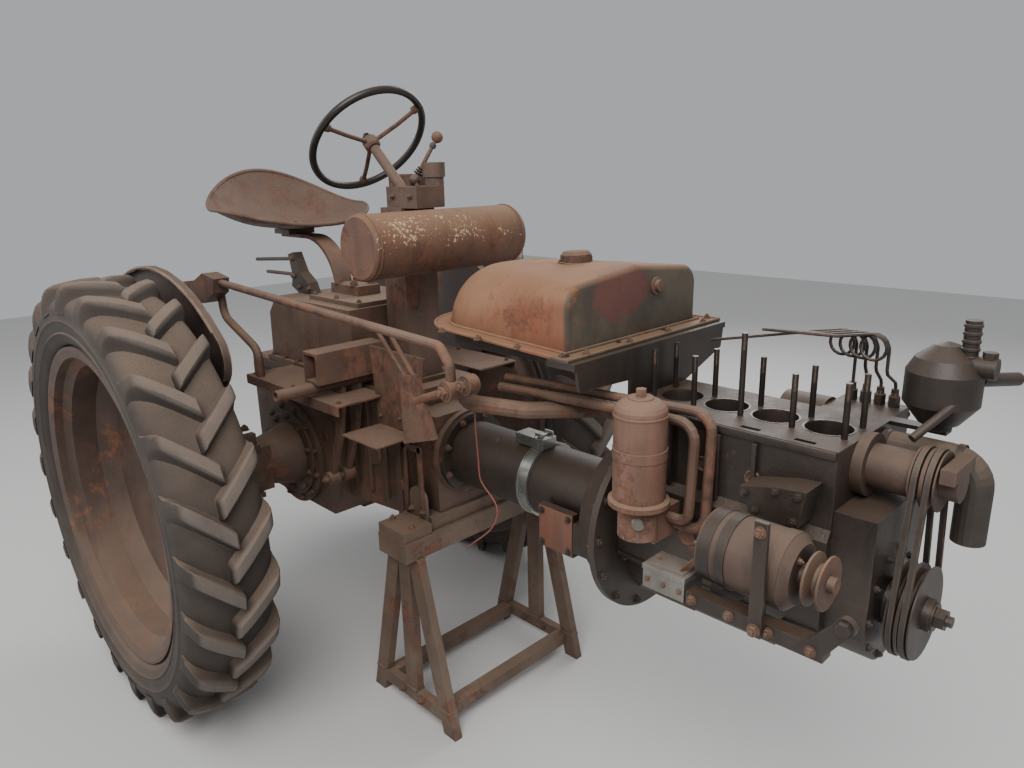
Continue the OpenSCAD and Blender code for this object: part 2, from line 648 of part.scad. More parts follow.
// Coolant hose from the pump to the front
module coolant_hose() color([0.12, 0.11, 0.1]) place() {
    at = [timing_x, 97, deck_z - hose_d / 2 - 12];
    x = nose_x - hose_d / 2;
    tube([at, [x, at.y, at.z], [x, at.y, at.z - 150]], hose_d, hose_d * 0.75, 7, 20);
}

// Dynamo along the engine's right side
dynamo_y = -280;
dynamo_z = crank_z + 152;
dynamo_x = block_x + 326;
dynamo_shaft = 17;
module dynamo() color([0.36, 0.24, 0.19]) place() translate([dynamo_x, dynamo_y, dynamo_z]) along_x() {
    cylinder(d = dynamo_d, h = dynamo_l);
    translate([0, 0, dynamo_l]) cylinder(d1 = dynamo_d, d2 = dynamo_d - 28, h = 14);
    difference() {
        translate([0, 0, dynamo_l + 13]) cylinder(d = 40, h = 10);
        translate([0, 0, dynamo_l + 9]) cylinder(d = dynamo_shaft + 2 * shaft_play, h = 30);
    }
}

// Dynamo pulley on its shaft
module dynamo_pulley() color([0.36, 0.27, 0.22]) place()
    translate([dynamo_x + dynamo_l, dynamo_y, dynamo_z]) along_x() {
        translate([0, 0, 14]) cylinder(d = dynamo_shaft, h = 52);
        translate([0, 0, 30]) v_pulley(dynamo_pulley_d, 28, 1, dynamo_shaft);
        translate([0, 0, 58]) cylinder(d = 28, h = 12);
    }

// Dynamo mounts: two arms on the block, the rail, the box's tray, the upright strap and the front arm
module dynamo_mounts() color([0.13, 0.11, 0.1]) place() {
    y0 = dynamo_y - 65;
    z0 = dynamo_z - 101;
    for (x = [dynamo_x + 20, dynamo_x + dynamo_l - 50]) difference() {
        block([x, -block_w / 2 - 14, z0 - 8], [x + 24, y0 + 25, dynamo_z - 50]);
        translate([x - 1, dynamo_y, dynamo_z]) along_x() cylinder(d = dynamo_d + 2 * fit, h = 30);
    }
    block([dynamo_x - 14, y0, z0], [dynamo_x + dynamo_l + 84, y0 + 30, z0 + 27]);
    block([dynamo_x - 110, y0, z0 - 5], [dynamo_x + 6, dynamo_y, z0 + 1]);
    strap_x = dynamo_x + dynamo_l - 35;
    block([strap_x, y0 - 17, z0 + 7], [strap_x + 23, y0 - 9, dynamo_z + 110]);
    block([strap_x, y0 - 10, z0 + 7], [strap_x + 23, y0 + 1, z0 + 25]);
    bolt = [dynamo_x + dynamo_l + 112, dynamo_z - 25];
    plate_xz(y0 - 1, y0 + 11) {
        polygon([[bolt.x - 78, z0 + 2], [bolt.x - 34, z0 + 2], [bolt.x + 12, bolt.y - 6], [bolt.x - 8, bolt.y + 12]]);
        translate(bolt) circle(d = 32);
    }
    translate([bolt.x, y0 - 10, bolt.y]) along_y() cylinder(d = 24, h = 10, $fn = 6);
}

// Voltage regulator box on its tray
module regulator_box() color([0.55, 0.54, 0.51]) place() {
    block([dynamo_x - 106, dynamo_y - 65, dynamo_z - 100], [dynamo_x - 18, dynamo_y - 5, dynamo_z - 55]);
}

// Oil filter canister on its head
filter_at = [block_x + 116, -220, crank_z + 145];
module oil_filter() color([0.42, 0.26, 0.19]) place() translate(filter_at) {
    r = filter_d / 2;
    rotate_extrude() polygon(concat([[0, 0], [r + 9, 0], [r + 9, 10], [r, 14], [r, filter_h - 30]],
        [for (a = [10 : 16 : 90]) [r * cos(a), filter_h - 30 + 30 * sin(a)]], [[0, filter_h]]));
    translate([0, 0, filter_h - 1]) cylinder(d = 22, h = 16, $fn = 6);
    translate([0, 0, -70]) cylinder(d = 84, h = 70);
    block([-40, 0, -80], [40, filter_at_gap(), -14]);
}
function filter_at_gap() = -filter_at.y - block_w / 2 - 14;

// Oil pipes from under the tank round the filter
module oil_pipes() color([0.35, 0.22, 0.17]) place() {
    wall_y = -block_w / 2;
    for (i = [0, 1]) {
        y = wall_y - 11.5 - i * 22.5;
        z = deck_z + 20 - 18 * i;
        x = filter_at.x + 107 - 24 * i;
        low = filter_at.z - 56 + 22 * i;
        tube([[bell_x - 250, y - 12, z - 22], [x, y, z], [x + 4, y - 20, low], [filter_at.x + 40 + fit, y - 20, low]],
            oil_pipe_d, 40);
    }
    elbow_z = deck_z - 48;
    tube([[bell_x - 285, -250, deck_z + 3], [bell_x - 285, -250, elbow_z], [bell_x - 132, -200, elbow_z],
        [bell_x, -70, elbow_z], [block_x - 8, -70, elbow_z]], 40, 40);
    translate(wire_top) cylinder(d = 9, h = 14);
}

// Air cleaner: a pot on its bracket, with a side boss, an upright stub, the outlet hose and a thin pipe
module air_cleaner() color([0.2, 0.16, 0.15]) place() {
    at = [timing_x + 81, block_w / 2 + 12, deck_z];
    r = cleaner_d / 2;
    block([timing_x - 8, block_w / 2, deck_z - 8], [at.x + 20, at.y + 20, deck_z]);
    translate(at) {
        cylinder(d = 50, h = 14);
        rotate_extrude() polygon([[0, 13], [r - 30, 13], [r, 52], [r, 112], [r - 14, 138], [r - 44, 162], [0, 169]]);
        translate([r - 36, 0, 128]) along_x() cylinder(d = 40, h = 54);
        translate([r + 4, 0, 140]) cylinder(d = 26, h = 18, $fn = 6);
        translate([r - 29, 0, 120]) cylinder(d = 28, h = 92);
        rod([r - 12, 20, 100], [r + 26, 120, 88], 26);
        rod([r - 20, -26, 78], [-5, -120, 10], 16);
    }
}

// Injection pump on the engine's left side, with its delivery valves
pump_xs = [for (i = [0 : cylinders - 1]) block_mid + 112 + 29 * i];
pump_y = block_w / 2 + 110;
module injection_pump() color([0.19, 0.16, 0.14]) place() {
    y = block_w / 2;
    block([pump_xs[0] - 24, y, deck_z - 120], [pump_xs[cylinders - 1] + 24, pump_y + 24, deck_z - 4]);
    for (x = pump_xs) {
        translate([x, pump_y, deck_z - 4]) cylinder(d = 24, h = 22, $fn = 6);
        translate([x, pump_y, deck_z + 18]) cylinder(d = 15, h = 16);
    }
    translate([pump_xs[0] - 24, y + 60, deck_z - 50]) rotate([0, -90, 0]) cylinder(d = 110, h = 96);
}

// Injection lines: each rises from its valve, makes a full loop and runs back beside the next
line_d = 7;
loop_r = 28;
module injection_lines() color([0.14, 0.12, 0.11]) place() {
    base = deck_z + 34;
    for (i = [0 : cylinders - 1]) {
        x = pump_xs[i];
        y = pump_y - 20 * i;
        z = deck_z + 118 + 4 * i;
        loop = [for (a = [0 : 45 : 450]) [x - loop_r + loop_r * cos(a), y - 12 * a / 450, z + loop_r * sin(a)]];
        end = i == 0 ? [block_x + 13, y - 28, deck_z + 83] : [x - 190 - 24 * i, y - 18, z + 8];
        tube(concat([[x, pump_y, base], [x, pump_y, base + 12], [x, y, base + 44]], loop,
            [[x - 100, y - 14, z + 14], end]), line_d, 12, 1, 6);
    }
}

// Fuel tank: a rounded back and a flat front over a flange that runs all round
tank_x = bell_x - 480;
tank_z = deck_z + 118;
tank_back = 150;       // radius of the rounded back
tank_fall = 14;        // the back is this much lower than the front
tank_flange = 46;
tank_taper = 45;       // the body is this much narrower at the back, each side
tank_crown = 20;       // rise of the top from its shoulders to the middle
body_half = tank_w / 2 - tank_flange;
back_y = body_half - tank_taper - tank_back;
module tank_corner(r, h) scale([1, 1, h / r]) intersection() {
    sphere(r = r, $fn = 32);
    translate([-r, -r, 0]) cube([2 * r, 2 * r, r]);
}
function flange_edge(s) = let (r = tank_back + tank_flange,
    d = [tank_l + tank_flange - tank_back, tank_w / 2 - back_y], a0 = atan2(d.y, d.x) + acos(r / norm(d)))
    concat([[tank_back + d.x, s * tank_w / 2]], [for (i = [0 : 10]) let (a = a0 + (180 - a0) * i / 10)
        [tank_back + r * cos(a), s * (back_y + r * sin(a))]]);
module fuel_tank() color([0.5, 0.33, 0.24]) place() translate([tank_x, 0, tank_z]) {
    edge_r = 48;
    near = flange_edge(-1);
    hull() {
        for (s = [-1, 1]) {
            translate([tank_back, s * back_y, 0]) tank_corner(tank_back, tank_h - tank_fall);
            translate([tank_l - 4, s * (body_half - edge_r - 2), tank_h - tank_crown - edge_r]) along_x()
                cylinder(r = edge_r, h = 4, $fn = 32);
            translate([tank_l - 4, s * (body_half - 2) - 2, 0]) cube([4, 4, 4]);
        }
        translate([tank_l - 4, 0, tank_h - edge_r]) along_x() cylinder(r = edge_r, h = 4, $fn = 32);
    }
    translate([0, 0, -5]) linear_extrude(5)
        polygon(concat(flange_edge(1), [for (i = [len(near) - 1 : -1 : 0]) near[i]]));
}

// Filler cap
module tank_cap() color([0.4, 0.25, 0.18]) place() {
    slope = tank_fall / (tank_l - tank_back - 4);
    at = 330;
    translate([tank_x + at, 0, tank_z + tank_h - tank_fall + slope * (at - tank_back) + fit])
        rotate([0, -atan(slope), 0]) {
            cylinder(d = 74, h = 18);
            translate([0, 0, 18]) cylinder(d1 = 74, d2 = 60, h = 8);
        }
}

// Cradle and bulkhead under the tank
module tank_cradle() color([0.12, 0.11, 0.1]) place() {
    half = tank_w / 2;
    top = tank_z - 5;
    low = crank_z + 232;
    block([block_x - 75, 4 - half, top - 14], [block_x, half - 4, top]);
    plate_yz(block_x - 8, block_x) polygon([[-half + 10, top], [half - 10, top], [half - 20, top - 60],
        [block_w / 2, deck_z], [block_w / 2, low], [-block_w / 2 + 20, low], [-block_w / 2 + 20, deck_z + 44],
        [-half + 20, top - 60]]);
    for (s = [-1, 1]) block([tank_x + 120, s * (half - 110), top - 36], [block_x - 54, s * (half - 80), top]);
    block([tank_x + 120, 80 - half, top - 36], [tank_x + 150, half - 80, top]);
}

// Air reservoir across the tractor
reservoir_at = [housing_front + 30, 0, housing_top + 430];
module air_reservoir() color([0.45, 0.29, 0.21]) place() translate(reservoir_at) along_y() {
    r = reservoir_d / 2;
    h = reservoir_l / 2;
    rotate_extrude() polygon(concat([[0, -h], [r - 6, -h], [r, -h + 6]],
        [for (a = [0 : 15 : 90]) [r * cos(a), h - 34 + 34 * sin(a)]], [[0, h]]));
}

// Pedestal, steering box and column tube
column_dir = [-cos(steer_tilt), 0, sin(steer_tilt)];
column_top = [housing_front - 291, 0, reservoir_at.z + 281];
column_foot = column_top - column_dir * 215;
column_shaft_d = 18;
module steering_box() color([0.35, 0.21, 0.16]) place() {
    box_z = reservoir_at.z + reservoir_d / 2 + 3;
    x0 = cover_x + 30;
    pedestal = [reservoir_at.x - 94, 60];
    block([x0, -60, housing_top], [x0 + 100, 60, box_z]);
    block([x0 - 14, -74, housing_top], [x0 + 114, 74, housing_top + 14]);
    block([x0 + 20, -50, box_z - 1], [x0 + 160, 50, box_z + 58]);
    difference() {
        rod(column_foot, column_top - column_dir * 37, 30);
        rod(column_top - column_dir * 110, column_top, column_shaft_d + 2 * shaft_play);
    }
    difference() {
        for (s = [-1, 1])
            block([x0 + 99, s * 40 - 16, reservoir_at.z - 60], [reservoir_at.x, s * 40 + 16, reservoir_at.z - 20]);
        translate([reservoir_at.x, 0, reservoir_at.z]) rotate([90, 0, 0])
            cylinder(d = reservoir_d + 2 * fit, h = reservoir_l, center = true);
    }
    translate([pedestal.x, pedestal.y, box_z]) cylinder(d = 56, h = 83);
    translate([pedestal.x, pedestal.y, box_z + 82]) cylinder(d = 66, h = 41);
    // dark box behind the wheel, on its arm
    block([x0 - 10, pedestal.y + 2, box_z + 35], [pedestal.x, pedestal.y + 24, box_z + 55]);
    block([x0 - 120, pedestal.y + 2, box_z + 31], [x0, pedestal.y + 100, box_z + 91]);
}

// Steering wheel: rim, hub and three spokes
module steering_wheel() color([0.1, 0.09, 0.09]) place() translate(column_top) rotate([0, steer_tilt - 90, 0]) {
    r = steer_d / 2 - steer_rim / 2;
    rotate_extrude($fn = 64) translate([r, 0]) circle(d = steer_rim, $fn = 20);
    translate([0, 0, -34]) cylinder(d = 48, h = 44);
    translate([0, 0, -100]) cylinder(d = column_shaft_d, h = 70);
    for (a = [45, 165, 285]) rod([20 * cos(a), 20 * sin(a), -12], [r * cos(a), r * sin(a), 0], 13);
}

// Gear lever: a rod between its ball seat and its knob, turned as one
module gear_lever() color([0.3, 0.18, 0.14]) place() {
    seat_d = 34;
    knob_d = 34;
    foot = [500, 34, reservoir_at.z + reservoir_d / 2 + 61 + seat_d / 2 + fit];
    lever = [30, 66, 118];
    along(foot, foot + lever) rotate_extrude() intersection() {
        union() {
            circle(d = seat_d);
            square([6, norm(lever)]);
            translate([0, norm(lever)]) circle(d = knob_d);
        }
        translate([0, 1 - seat_d / 2]) square([knob_d, norm(lever) + seat_d / 2 + knob_d / 2 - 2]);
    }
}

// Trestle frames
stand_x = 680;
stand_y = -210;
stand_top = axle_z - 130;
module trestle_frame(y) {
    t = 26;
    foot = stand_l / 2;
    plate_xz(y - t / 2, y + t / 2) {
        for (s = [-1, 1]) polygon([[stand_x + s * 18, stand_top], [stand_x + s * (18 + leg_w), stand_top],
            [stand_x + s * foot, 0], [stand_x + s * (foot - leg_w), 0]]);
        translate([stand_x - leg_w / 2, 40]) square([leg_w, stand_top - 40]);
        translate([stand_x - foot + 20, 40]) square([stand_l - 40, 40]);
    }
}
module stand_frames() color([0.33, 0.24, 0.19]) place() {
    for (y = [stand_y, stand_y + stand_w]) trestle_frame(y);
    for (x = [stand_x - 150, stand_x + 110])
        block([x, stand_y + 13, 42], [x + 40, stand_y + stand_w - 13, 78]);
}

// Beam, block and cross bar that carry the gearbox
module stand_beam() color([0.35, 0.25, 0.19]) place() {
    block([stand_x - 65, stand_y - 50, stand_top], [stand_x + 65, stand_y + stand_w + 40, stand_top + 60]);
    block([stand_x - 50, stand_y + 60, stand_top + 59], [stand_x + 50, stand_y + stand_w - 60, axle_z - 30]);
    block([stand_x - 60, stand_y - 50, stand_top + 59], [stand_x + 60, stand_y + 51, stand_top + 92]);
    plate_xz(stand_y + 50, stand_y + 60) {
        translate([stand_x - 38, stand_top + 59]) square([76, 91]);
        translate([stand_x, stand_top + 150]) circle(r = 38);
    }
}

// Drawbar under the housing and the power take-off shaft
module drawbar() color([0.25, 0.17, 0.13]) place() {
    z = axle_z - housing_drop;
    difference() {
        block([-housing_back - 220, -38, z - 28], [200, 38, z]);
        translate([-housing_back - 180, 0, z - 30]) cylinder(d = 26, h = 34);
    }
    translate([-housing_back - 60 - 76, 0, axle_z]) along_x() cylinder(d = 34.9, h = 76);
}

// Loose wire: it hangs from the elbow pipe, steps from its upper end
wire_top = [bell_x - 260, -242, deck_z - 70];
wire_pts = [for (d = [[0, 0, 0], [0, 0, -32], [3, 0, -74], [5, 1, -122], [7, 2, -171], [22, 4, -190], [43, 5, -206],
    [60, 6, -224], [64, 6, -246], [54, 4, -274], [38, 2, -298], [13, -1, -322], [-15, -4, -346], [-43, -8, -371]])
    wire_top + d];
module loose_wire() color([0.45, 0.2, 0.18]) place() tube(wire_pts, 4, 8, 1, 8);

tyre_right();
tyre_left();
rim_right();
rim_left();
half_shaft_right();
half_shaft_left();
axle_trumpets();
fender_plates();
gearbox_housing();
transmission_cover();
foot_plates();
seat_pan();
seat_spring();
hand_levers();
brake_rod();
pedal_linkage();
torque_tube();
tube_clamp();
bell_housing();
engine_block();
head_studs();
sump();
timing_cover();
crank_pulley();
fan_belts();
water_pump();
coolant_hose();
dynamo();
dynamo_pulley();
dynamo_mounts();
regulator_box();
oil_filter();
oil_pipes();
air_cleaner();
injection_pump();
injection_lines();
fuel_tank();
tank_cap();
tank_cradle();
air_reservoir();
steering_box();
steering_wheel();
gear_lever();
stand_frames();
stand_beam();
drawbar();
loose_wire();
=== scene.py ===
"""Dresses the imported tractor: finishes, tyres, fastenings, pipes and trim, then floor, lights and camera."""

import logging
import math
from dataclasses import dataclass, field
from enum import Enum
from typing import Sequence

import bmesh
import bpy
from mathutils import Matrix, Vector


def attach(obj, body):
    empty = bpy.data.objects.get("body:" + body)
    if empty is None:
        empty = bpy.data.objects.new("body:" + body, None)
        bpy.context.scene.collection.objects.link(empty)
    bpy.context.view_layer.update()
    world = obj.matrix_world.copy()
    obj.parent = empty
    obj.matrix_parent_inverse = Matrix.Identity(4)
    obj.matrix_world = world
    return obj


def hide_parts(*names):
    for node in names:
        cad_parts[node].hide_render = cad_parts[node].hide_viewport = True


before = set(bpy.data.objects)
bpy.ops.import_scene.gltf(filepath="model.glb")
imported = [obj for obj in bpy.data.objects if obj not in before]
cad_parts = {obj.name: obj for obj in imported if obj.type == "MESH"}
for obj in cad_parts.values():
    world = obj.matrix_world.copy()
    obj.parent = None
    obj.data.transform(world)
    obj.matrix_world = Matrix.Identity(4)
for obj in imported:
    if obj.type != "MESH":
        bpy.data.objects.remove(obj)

LOG = logging.getLogger("tractor")
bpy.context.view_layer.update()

Colour = tuple[float, float, float, float]
Point = tuple[float, float, float]
Mesh = bpy.types.Mesh
Wire = bpy.types.NodeSocket
Sockets = bpy.types.bpy_prop_collection
Tree = bpy.types.NodeTree

UP = Vector((0.0, 0.0, 1.0))
AHEAD = Vector((1.0, 0.0, 0.0))
LEFT = Vector((0.0, 1.0, 0.0))
ORIGIN = (0.0, 0.0, 0.0)

MID_X = 0.690
AXLE_Z = 0.670
AXLE = Vector((-MID_X, 0.0, AXLE_Z))
CRANK_Z = 0.810
DECK_Z = 1.122


def rgb(red: int, green: int, blue: int) -> Colour:
    """Turns a display colour of 0 to 255 a channel into a linear one.

    Args:
        red: The red channel.
        green: The green channel.
        blue: The blue channel.

    Returns:
        The linear colour with full alpha.
    """
    linear = [((v / 255 + 0.055) / 1.055) ** 2.4 if v > 10 else v / 255 / 12.92 for v in (red, green, blue)]
    return (*linear, 1.0)


def at(x: float, y: float, z: float) -> Vector:
    """Moves a point from the tractor's own frame, at the rear axle, to the part's frame."""
    return Vector((x - MID_X, y, z))


class Body(Enum):
    """The rigid bodies that pieces ride on."""

    CHASSIS = "chassis"
    RIGHT_WHEEL = "right_wheel"
    LEFT_WHEEL = "left_wheel"
    STEERING = "steering_wheel"


# Shader graphs


class Graph:
    """Adds nodes to one node tree and joins them."""

    def __init__(self, tree: Tree) -> None:
        """Keeps the tree that the nodes go into."""
        self.tree = tree

    def add(self, kind: str, inputs: dict | None = None, **settings: object) -> bpy.types.Node:
        """Adds one node.

        Args:
            kind: The node's type name.
            inputs: Values or sockets by input name or number.
            **settings: The node's own properties.

        Returns:
            The new node.
        """
        node = self.tree.nodes.new(kind)
        for name, value in settings.items():
            setattr(node, name, value)
        for key, value in (inputs or {}).items():
            if isinstance(value, Wire):
                self.tree.links.new(value, node.inputs[key])
            else:
                node.inputs[key].default_value = value
        return node

    def math(self, operation: str, a: object, b: object = 0.0) -> Wire:
        """Adds a Math node and returns its result."""
        return self.add("ShaderNodeMath", {0: a, 1: b}, operation=operation).outputs[0]

    def plus(self, a: object, b: object) -> Wire:
        """Returns the sum."""
        return self.math("ADD", a, b)

    def minus(self, a: object, b: object) -> Wire:
        """Returns the difference."""
        return self.math("SUBTRACT", a, b)

    def times(self, a: object, b: object) -> Wire:
        """Returns the product."""
        return self.math("MULTIPLY", a, b)

    def vector(self, operation: str, a: object, b: object = ORIGIN) -> Sockets:
        """Adds a Vector Math node and returns its outputs."""
        return self.add("ShaderNodeVectorMath", {0: a, 1: b}, operation=operation).outputs

    def step(self, value: object, low: object, high: object) -> Wire:
        """Returns a smooth step of value from 0 at low to 1 at high."""
        node = self.add("ShaderNodeMapRange", {0: value, 1: low, 2: high}, interpolation_type="SMOOTHSTEP")
        return node.outputs[0]

    def span(self, value: object, low: float, high: float) -> Wire:
        """Returns value from 0 to 1 stretched to lie from low to high."""
        return self.add("ShaderNodeMapRange", {0: value, 3: low, 4: high}).outputs[0]

    def noise(self, vector: object, scale: object, detail: float = 4.0, rough: float = 0.55) -> Wire:
        """Adds a noise texture and returns its value."""
        inputs = {"Vector": vector, "Scale": scale, "Detail": detail, "Roughness": rough}
        return self.add("ShaderNodeTexNoise", inputs).outputs[0]

    def mix(self, factor: object, a: object, b: object) -> Wire:
        """Mixes two colours and returns the result."""
        return self.add("ShaderNodeMix", {0: factor, 6: a, 7: b}, data_type="RGBA").outputs[2]


def label(key: str) -> str:
    """Turns a keyword into a socket's label."""
    return key.replace("_", " ").capitalize()


def socket_kind(name: str, default: object = None) -> str:
    """Finds the kind of a socket by its label and its default value.

    Args:
        name: The socket's label.
        default: Its default: a colour, a vector, a whole number, another number, or none.

    Returns:
        The socket's type name.
    """
    if name in ("Geometry", "Material"):
        return f"NodeSocket{name}"
    if name == "Colour" or isinstance(default, tuple):
        return "NodeSocketVector" if default and len(default) == 3 else "NodeSocketColor"
    return "NodeSocketInt" if isinstance(default, int) else "NodeSocketFloat"


class SharedTree:
    """A node tree with named inputs and outputs, built once."""

    kind = "ShaderNodeTree"
    name = ""
    inputs: dict[str, object] = {}
    outputs: tuple[str, ...] = ("Mask",)
    _built: dict[str, Tree] = {}

    @classmethod
    def tree(cls) -> Tree:
        """Returns the tree, and builds it the first time."""
        if cls.name not in cls._built:
            tree = bpy.data.node_groups.new(cls.name, cls.kind)
            for name, default in cls.inputs.items():
                kind = socket_kind(name, default)
                socket = tree.interface.new_socket(name=name, in_out="INPUT", socket_type=kind)
                if default is not None:
                    socket.default_value = default
            for name in cls.outputs:
                tree.interface.new_socket(name=name, in_out="OUTPUT", socket_type=socket_kind(name))
            graph = Graph(tree)
            source = graph.add("NodeGroupInput").outputs
            graph.add("NodeGroupOutput", cls.build(graph, source))
            cls._built[cls.name] = tree
        return cls._built[cls.name]

    @classmethod
    def build(cls, graph: Graph, source: Sockets) -> dict[str, Wire]:
        """Fills the tree.

        Args:
            graph: The tree's graph.
            source: The tree's inputs by name.

        Returns:
            The sockets that its outputs come from, by name.
        """
        raise NotImplementedError


class SharedEffect(SharedTree):
    """A shader group that many finishes use."""

    @classmethod
    def place(cls, graph: Graph, **inputs: object) -> Sockets:
        """Puts the group into a material.

        Args:
            graph: The material's graph.
            **inputs: Values or sockets by input name, in small letters with _ between words.

        Returns:
            The outputs of the group's node.
        """
        named = {label(key): value for key, value in inputs.items()}
        return graph.add("ShaderNodeGroup", named, node_tree=cls.tree()).outputs


class RustPatches(SharedEffect):
    """Rust that breaks through paint in patches with speckled edges."""

    name = "rust patches"
    inputs = {
        "Vector": ORIGIN,
        "Colour": (0.2, 0.1, 0.05, 1),
        "Light rust": (0.3, 0.1, 0.05, 1),
        "Dark rust": (0.1, 0.04, 0.02, 1),
        "Amount": 0.5,
        "Scale": 6.0,
    }
    outputs = ("Colour", "Mask")

    @classmethod
    def build(cls, graph: Graph, source: Sockets) -> dict[str, Wire]:
        """Returns the rusted colour and the rust's mask.

        Args:
            graph: The group's graph.
            source: The group's inputs by name.

        Returns:
            The group's outputs by name.
        """
        vector, scale = source["Vector"], source["Scale"]
        broad = graph.noise(vector, scale, 6.0, 0.62)
        fine = graph.noise(vector, graph.times(scale, 9.0), 5.0, 0.7)
        both = graph.plus(graph.times(broad, 0.7), graph.times(fine, 0.3))
        level = graph.minus(0.72, graph.times(source["Amount"], 0.44))
        mask = graph.step(both, graph.minus(level, 0.03), graph.plus(level, 0.04))
        shade = graph.step(graph.noise(vector, graph.times(scale, 4.0), 6.0, 0.7), 0.36, 0.64)
        rust = graph.mix(shade, source["Dark rust"], source["Light rust"])
        return {"Colour": graph.mix(mask, source["Colour"], rust), "Mask": mask}


class SettledDust(SharedEffect):
    """Dust that lies on faces that look up, thicker in blotches."""

    name = "settled dust"
    inputs = {
        "Vector": ORIGIN,
        "Facing": ORIGIN,
        "Colour": (0.2, 0.1, 0.05, 1),
        "Dust": (0.3, 0.22, 0.15, 1),
        "Amount": 0.5,
    }
    outputs = ("Colour", "Mask")

    @classmethod
    def build(cls, graph: Graph, source: Sockets) -> dict[str, Wire]:
        """Returns the dusty colour and the dust's mask.

        Args:
            graph: The group's graph.
            source: The group's inputs by name.

        Returns:
            The group's outputs by name.
        """
        height = graph.add("ShaderNodeSeparateXYZ", {0: source["Facing"]}).outputs[2]
        blotch = graph.noise(source["Vector"], 7.0, 6.0, 0.6)
        speck = graph.noise(source["Vector"], 240.0, 2.0, 0.6)
        up = graph.step(graph.plus(height, graph.times(blotch, 0.5)), 0.15, 1.25)
        base = graph.plus(graph.times(up, 0.9), graph.times(blotch, 0.28))
        grainy = graph.times(base, graph.span(speck, 0.55, 1.35))
        inputs = {0: grainy, 1: source["Amount"]}
        mask = graph.add("ShaderNodeMath", inputs, operation="MULTIPLY", use_clamp=True).outputs[0]
        return {"Colour": graph.mix(mask, source["Colour"], source["Dust"]), "Mask": mask}


class EdgeWear(SharedEffect):
    """Where edges are rubbed bare."""

    name = "edge wear"
    inputs = {"Vector": ORIGIN, "Radius": 0.006, "Amount": 0.5}

    @classmethod
    def build(cls, graph: Graph, source: Sockets) -> dict[str, Wire]:
        """Returns the mask of the worn edges.

        Args:
            graph: The group's graph.
            source: The group's inputs by name.

        Returns:
            The group's outputs by name.
        """
        rounded = graph.add("ShaderNodeBevel", {"Radius": source["Radius"]}, samples=4).outputs[0]
        flat = graph.add("ShaderNodeNewGeometry").outputs["Normal"]
        dot = graph.vector("DOT_PRODUCT", rounded, flat)["Value"]
        edge = graph.step(graph.minus(1.0, dot), 0.01, 0.22)
        patchy = graph.step(graph.noise(source["Vector"], 30.0, 4.0, 0.65), 0.32, 0.62)
        return {"Mask": graph.times(graph.times(edge, patchy), source["Amount"])}


class CastGrain(SharedEffect):
    """The small bumps and pits of old castings and thick paint."""

    name = "cast grain"
    inputs = {"Vector": ORIGIN, "Scale": 160.0, "Dents": 0.4}
    outputs = ("Height",)

    @classmethod
    def build(cls, graph: Graph, source: Sockets) -> dict[str, Wire]:
        """Returns the height of the grain.

        Args:
            graph: The group's graph.
            source: The group's inputs by name.

        Returns:
            The group's outputs by name.
        """
        fine = graph.noise(source["Vector"], source["Scale"], 4.0, 0.62)
        broad = graph.noise(source["Vector"], 14.0, 4.0, 0.5)
        pits = graph.add("ShaderNodeTexVoronoi", {"Vector": source["Vector"], "Scale": 75.0}).outputs
        pitted = graph.step(pits["Distance"], 0.05, 0.3)
        height = graph.plus(graph.times(fine, 0.5), graph.times(pitted, 0.22))
        return {"Height": graph.plus(height, graph.times(broad, source["Dents"]))}


class GrimeAndShade(SharedEffect):
    """Painted shade in corners, found by ambient occlusion, and oil in runs down the sides."""

    name = "grime_and_shade"
    inputs = {"Vector": ORIGIN, "Reach": 0.06, "Amount": 0.5}

    @classmethod
    def build(cls, graph: Graph, source: Sockets) -> dict[str, Wire]:
        """Returns the mask of the painted corner shade and the oil runs.

        Args:
            graph: The group's graph.
            source: The group's inputs by name.

        Returns:
            The group's outputs by name.
        """
        # Painted shade: ambient occlusion darkens corners and gaps, where shade falls; the runs below are oil.
        open_share = graph.add(
            "ShaderNodeAmbientOcclusion", {"Distance": source["Reach"]}, samples=5, only_local=False
        ).outputs["AO"]
        corner = graph.step(open_share, 0.95, 0.35)
        runs = graph.add("ShaderNodeMapping", {"Vector": source["Vector"], "Scale": (22.0, 22.0, 2.2)})
        streak = graph.step(graph.noise(runs.outputs[0], 1.0, 5.0, 0.6), 0.48, 0.68)
        both = graph.math("MAXIMUM", corner, graph.times(streak, 0.6))
        return {"Mask": graph.times(both, source["Amount"])}


class PaintFlakes(SharedEffect):
    """Scabs of old paint and scale in drifts along the upper sides; the top and the flat ends stay plain."""

    name = "paint flakes"
    inputs = {"Vector": ORIGIN, "Facing": ORIGIN, "Amount": 0.5, "Scale": 34.0}

    @classmethod
    def build(cls, graph: Graph, source: Sockets) -> dict[str, Wire]:
        """Returns the mask of the flakes.

        Args:
            graph: The group's graph.
            source: The group's inputs by name.

        Returns:
            The group's outputs by name.
        """
        _, along, up = graph.add("ShaderNodeSeparateXYZ", {0: source["Facing"]}).outputs
        scabs = graph.noise(source["Vector"], source["Scale"], 3.0, 0.7)
        drift = graph.step(graph.noise(source["Vector"], 7.0, 4.0, 0.6), 0.36, 0.6)
        sides = graph.times(graph.step(up, -0.4, 0.3), graph.step(up, 1.02, 0.8))
        ends = graph.step(graph.math("ABSOLUTE", along), 0.9, 0.6)
        cover = graph.times(drift, graph.times(sides, ends))
        share = graph.times(cover, source["Amount"])
        level = graph.minus(0.71, graph.times(share, 0.15))
        return {"Mask": graph.step(scabs, level, graph.plus(level, 0.02))}


# Finishes

RUST_LIGHT = rgb(112, 72, 54)
RUST_DARK = rgb(56, 38, 31)
DUST_TAN = rgb(146, 122, 101)
# The dark of oil runs, also used as painted shade in corners and gaps.
OIL_AND_SHADE_BLACK = rgb(20, 17, 15)


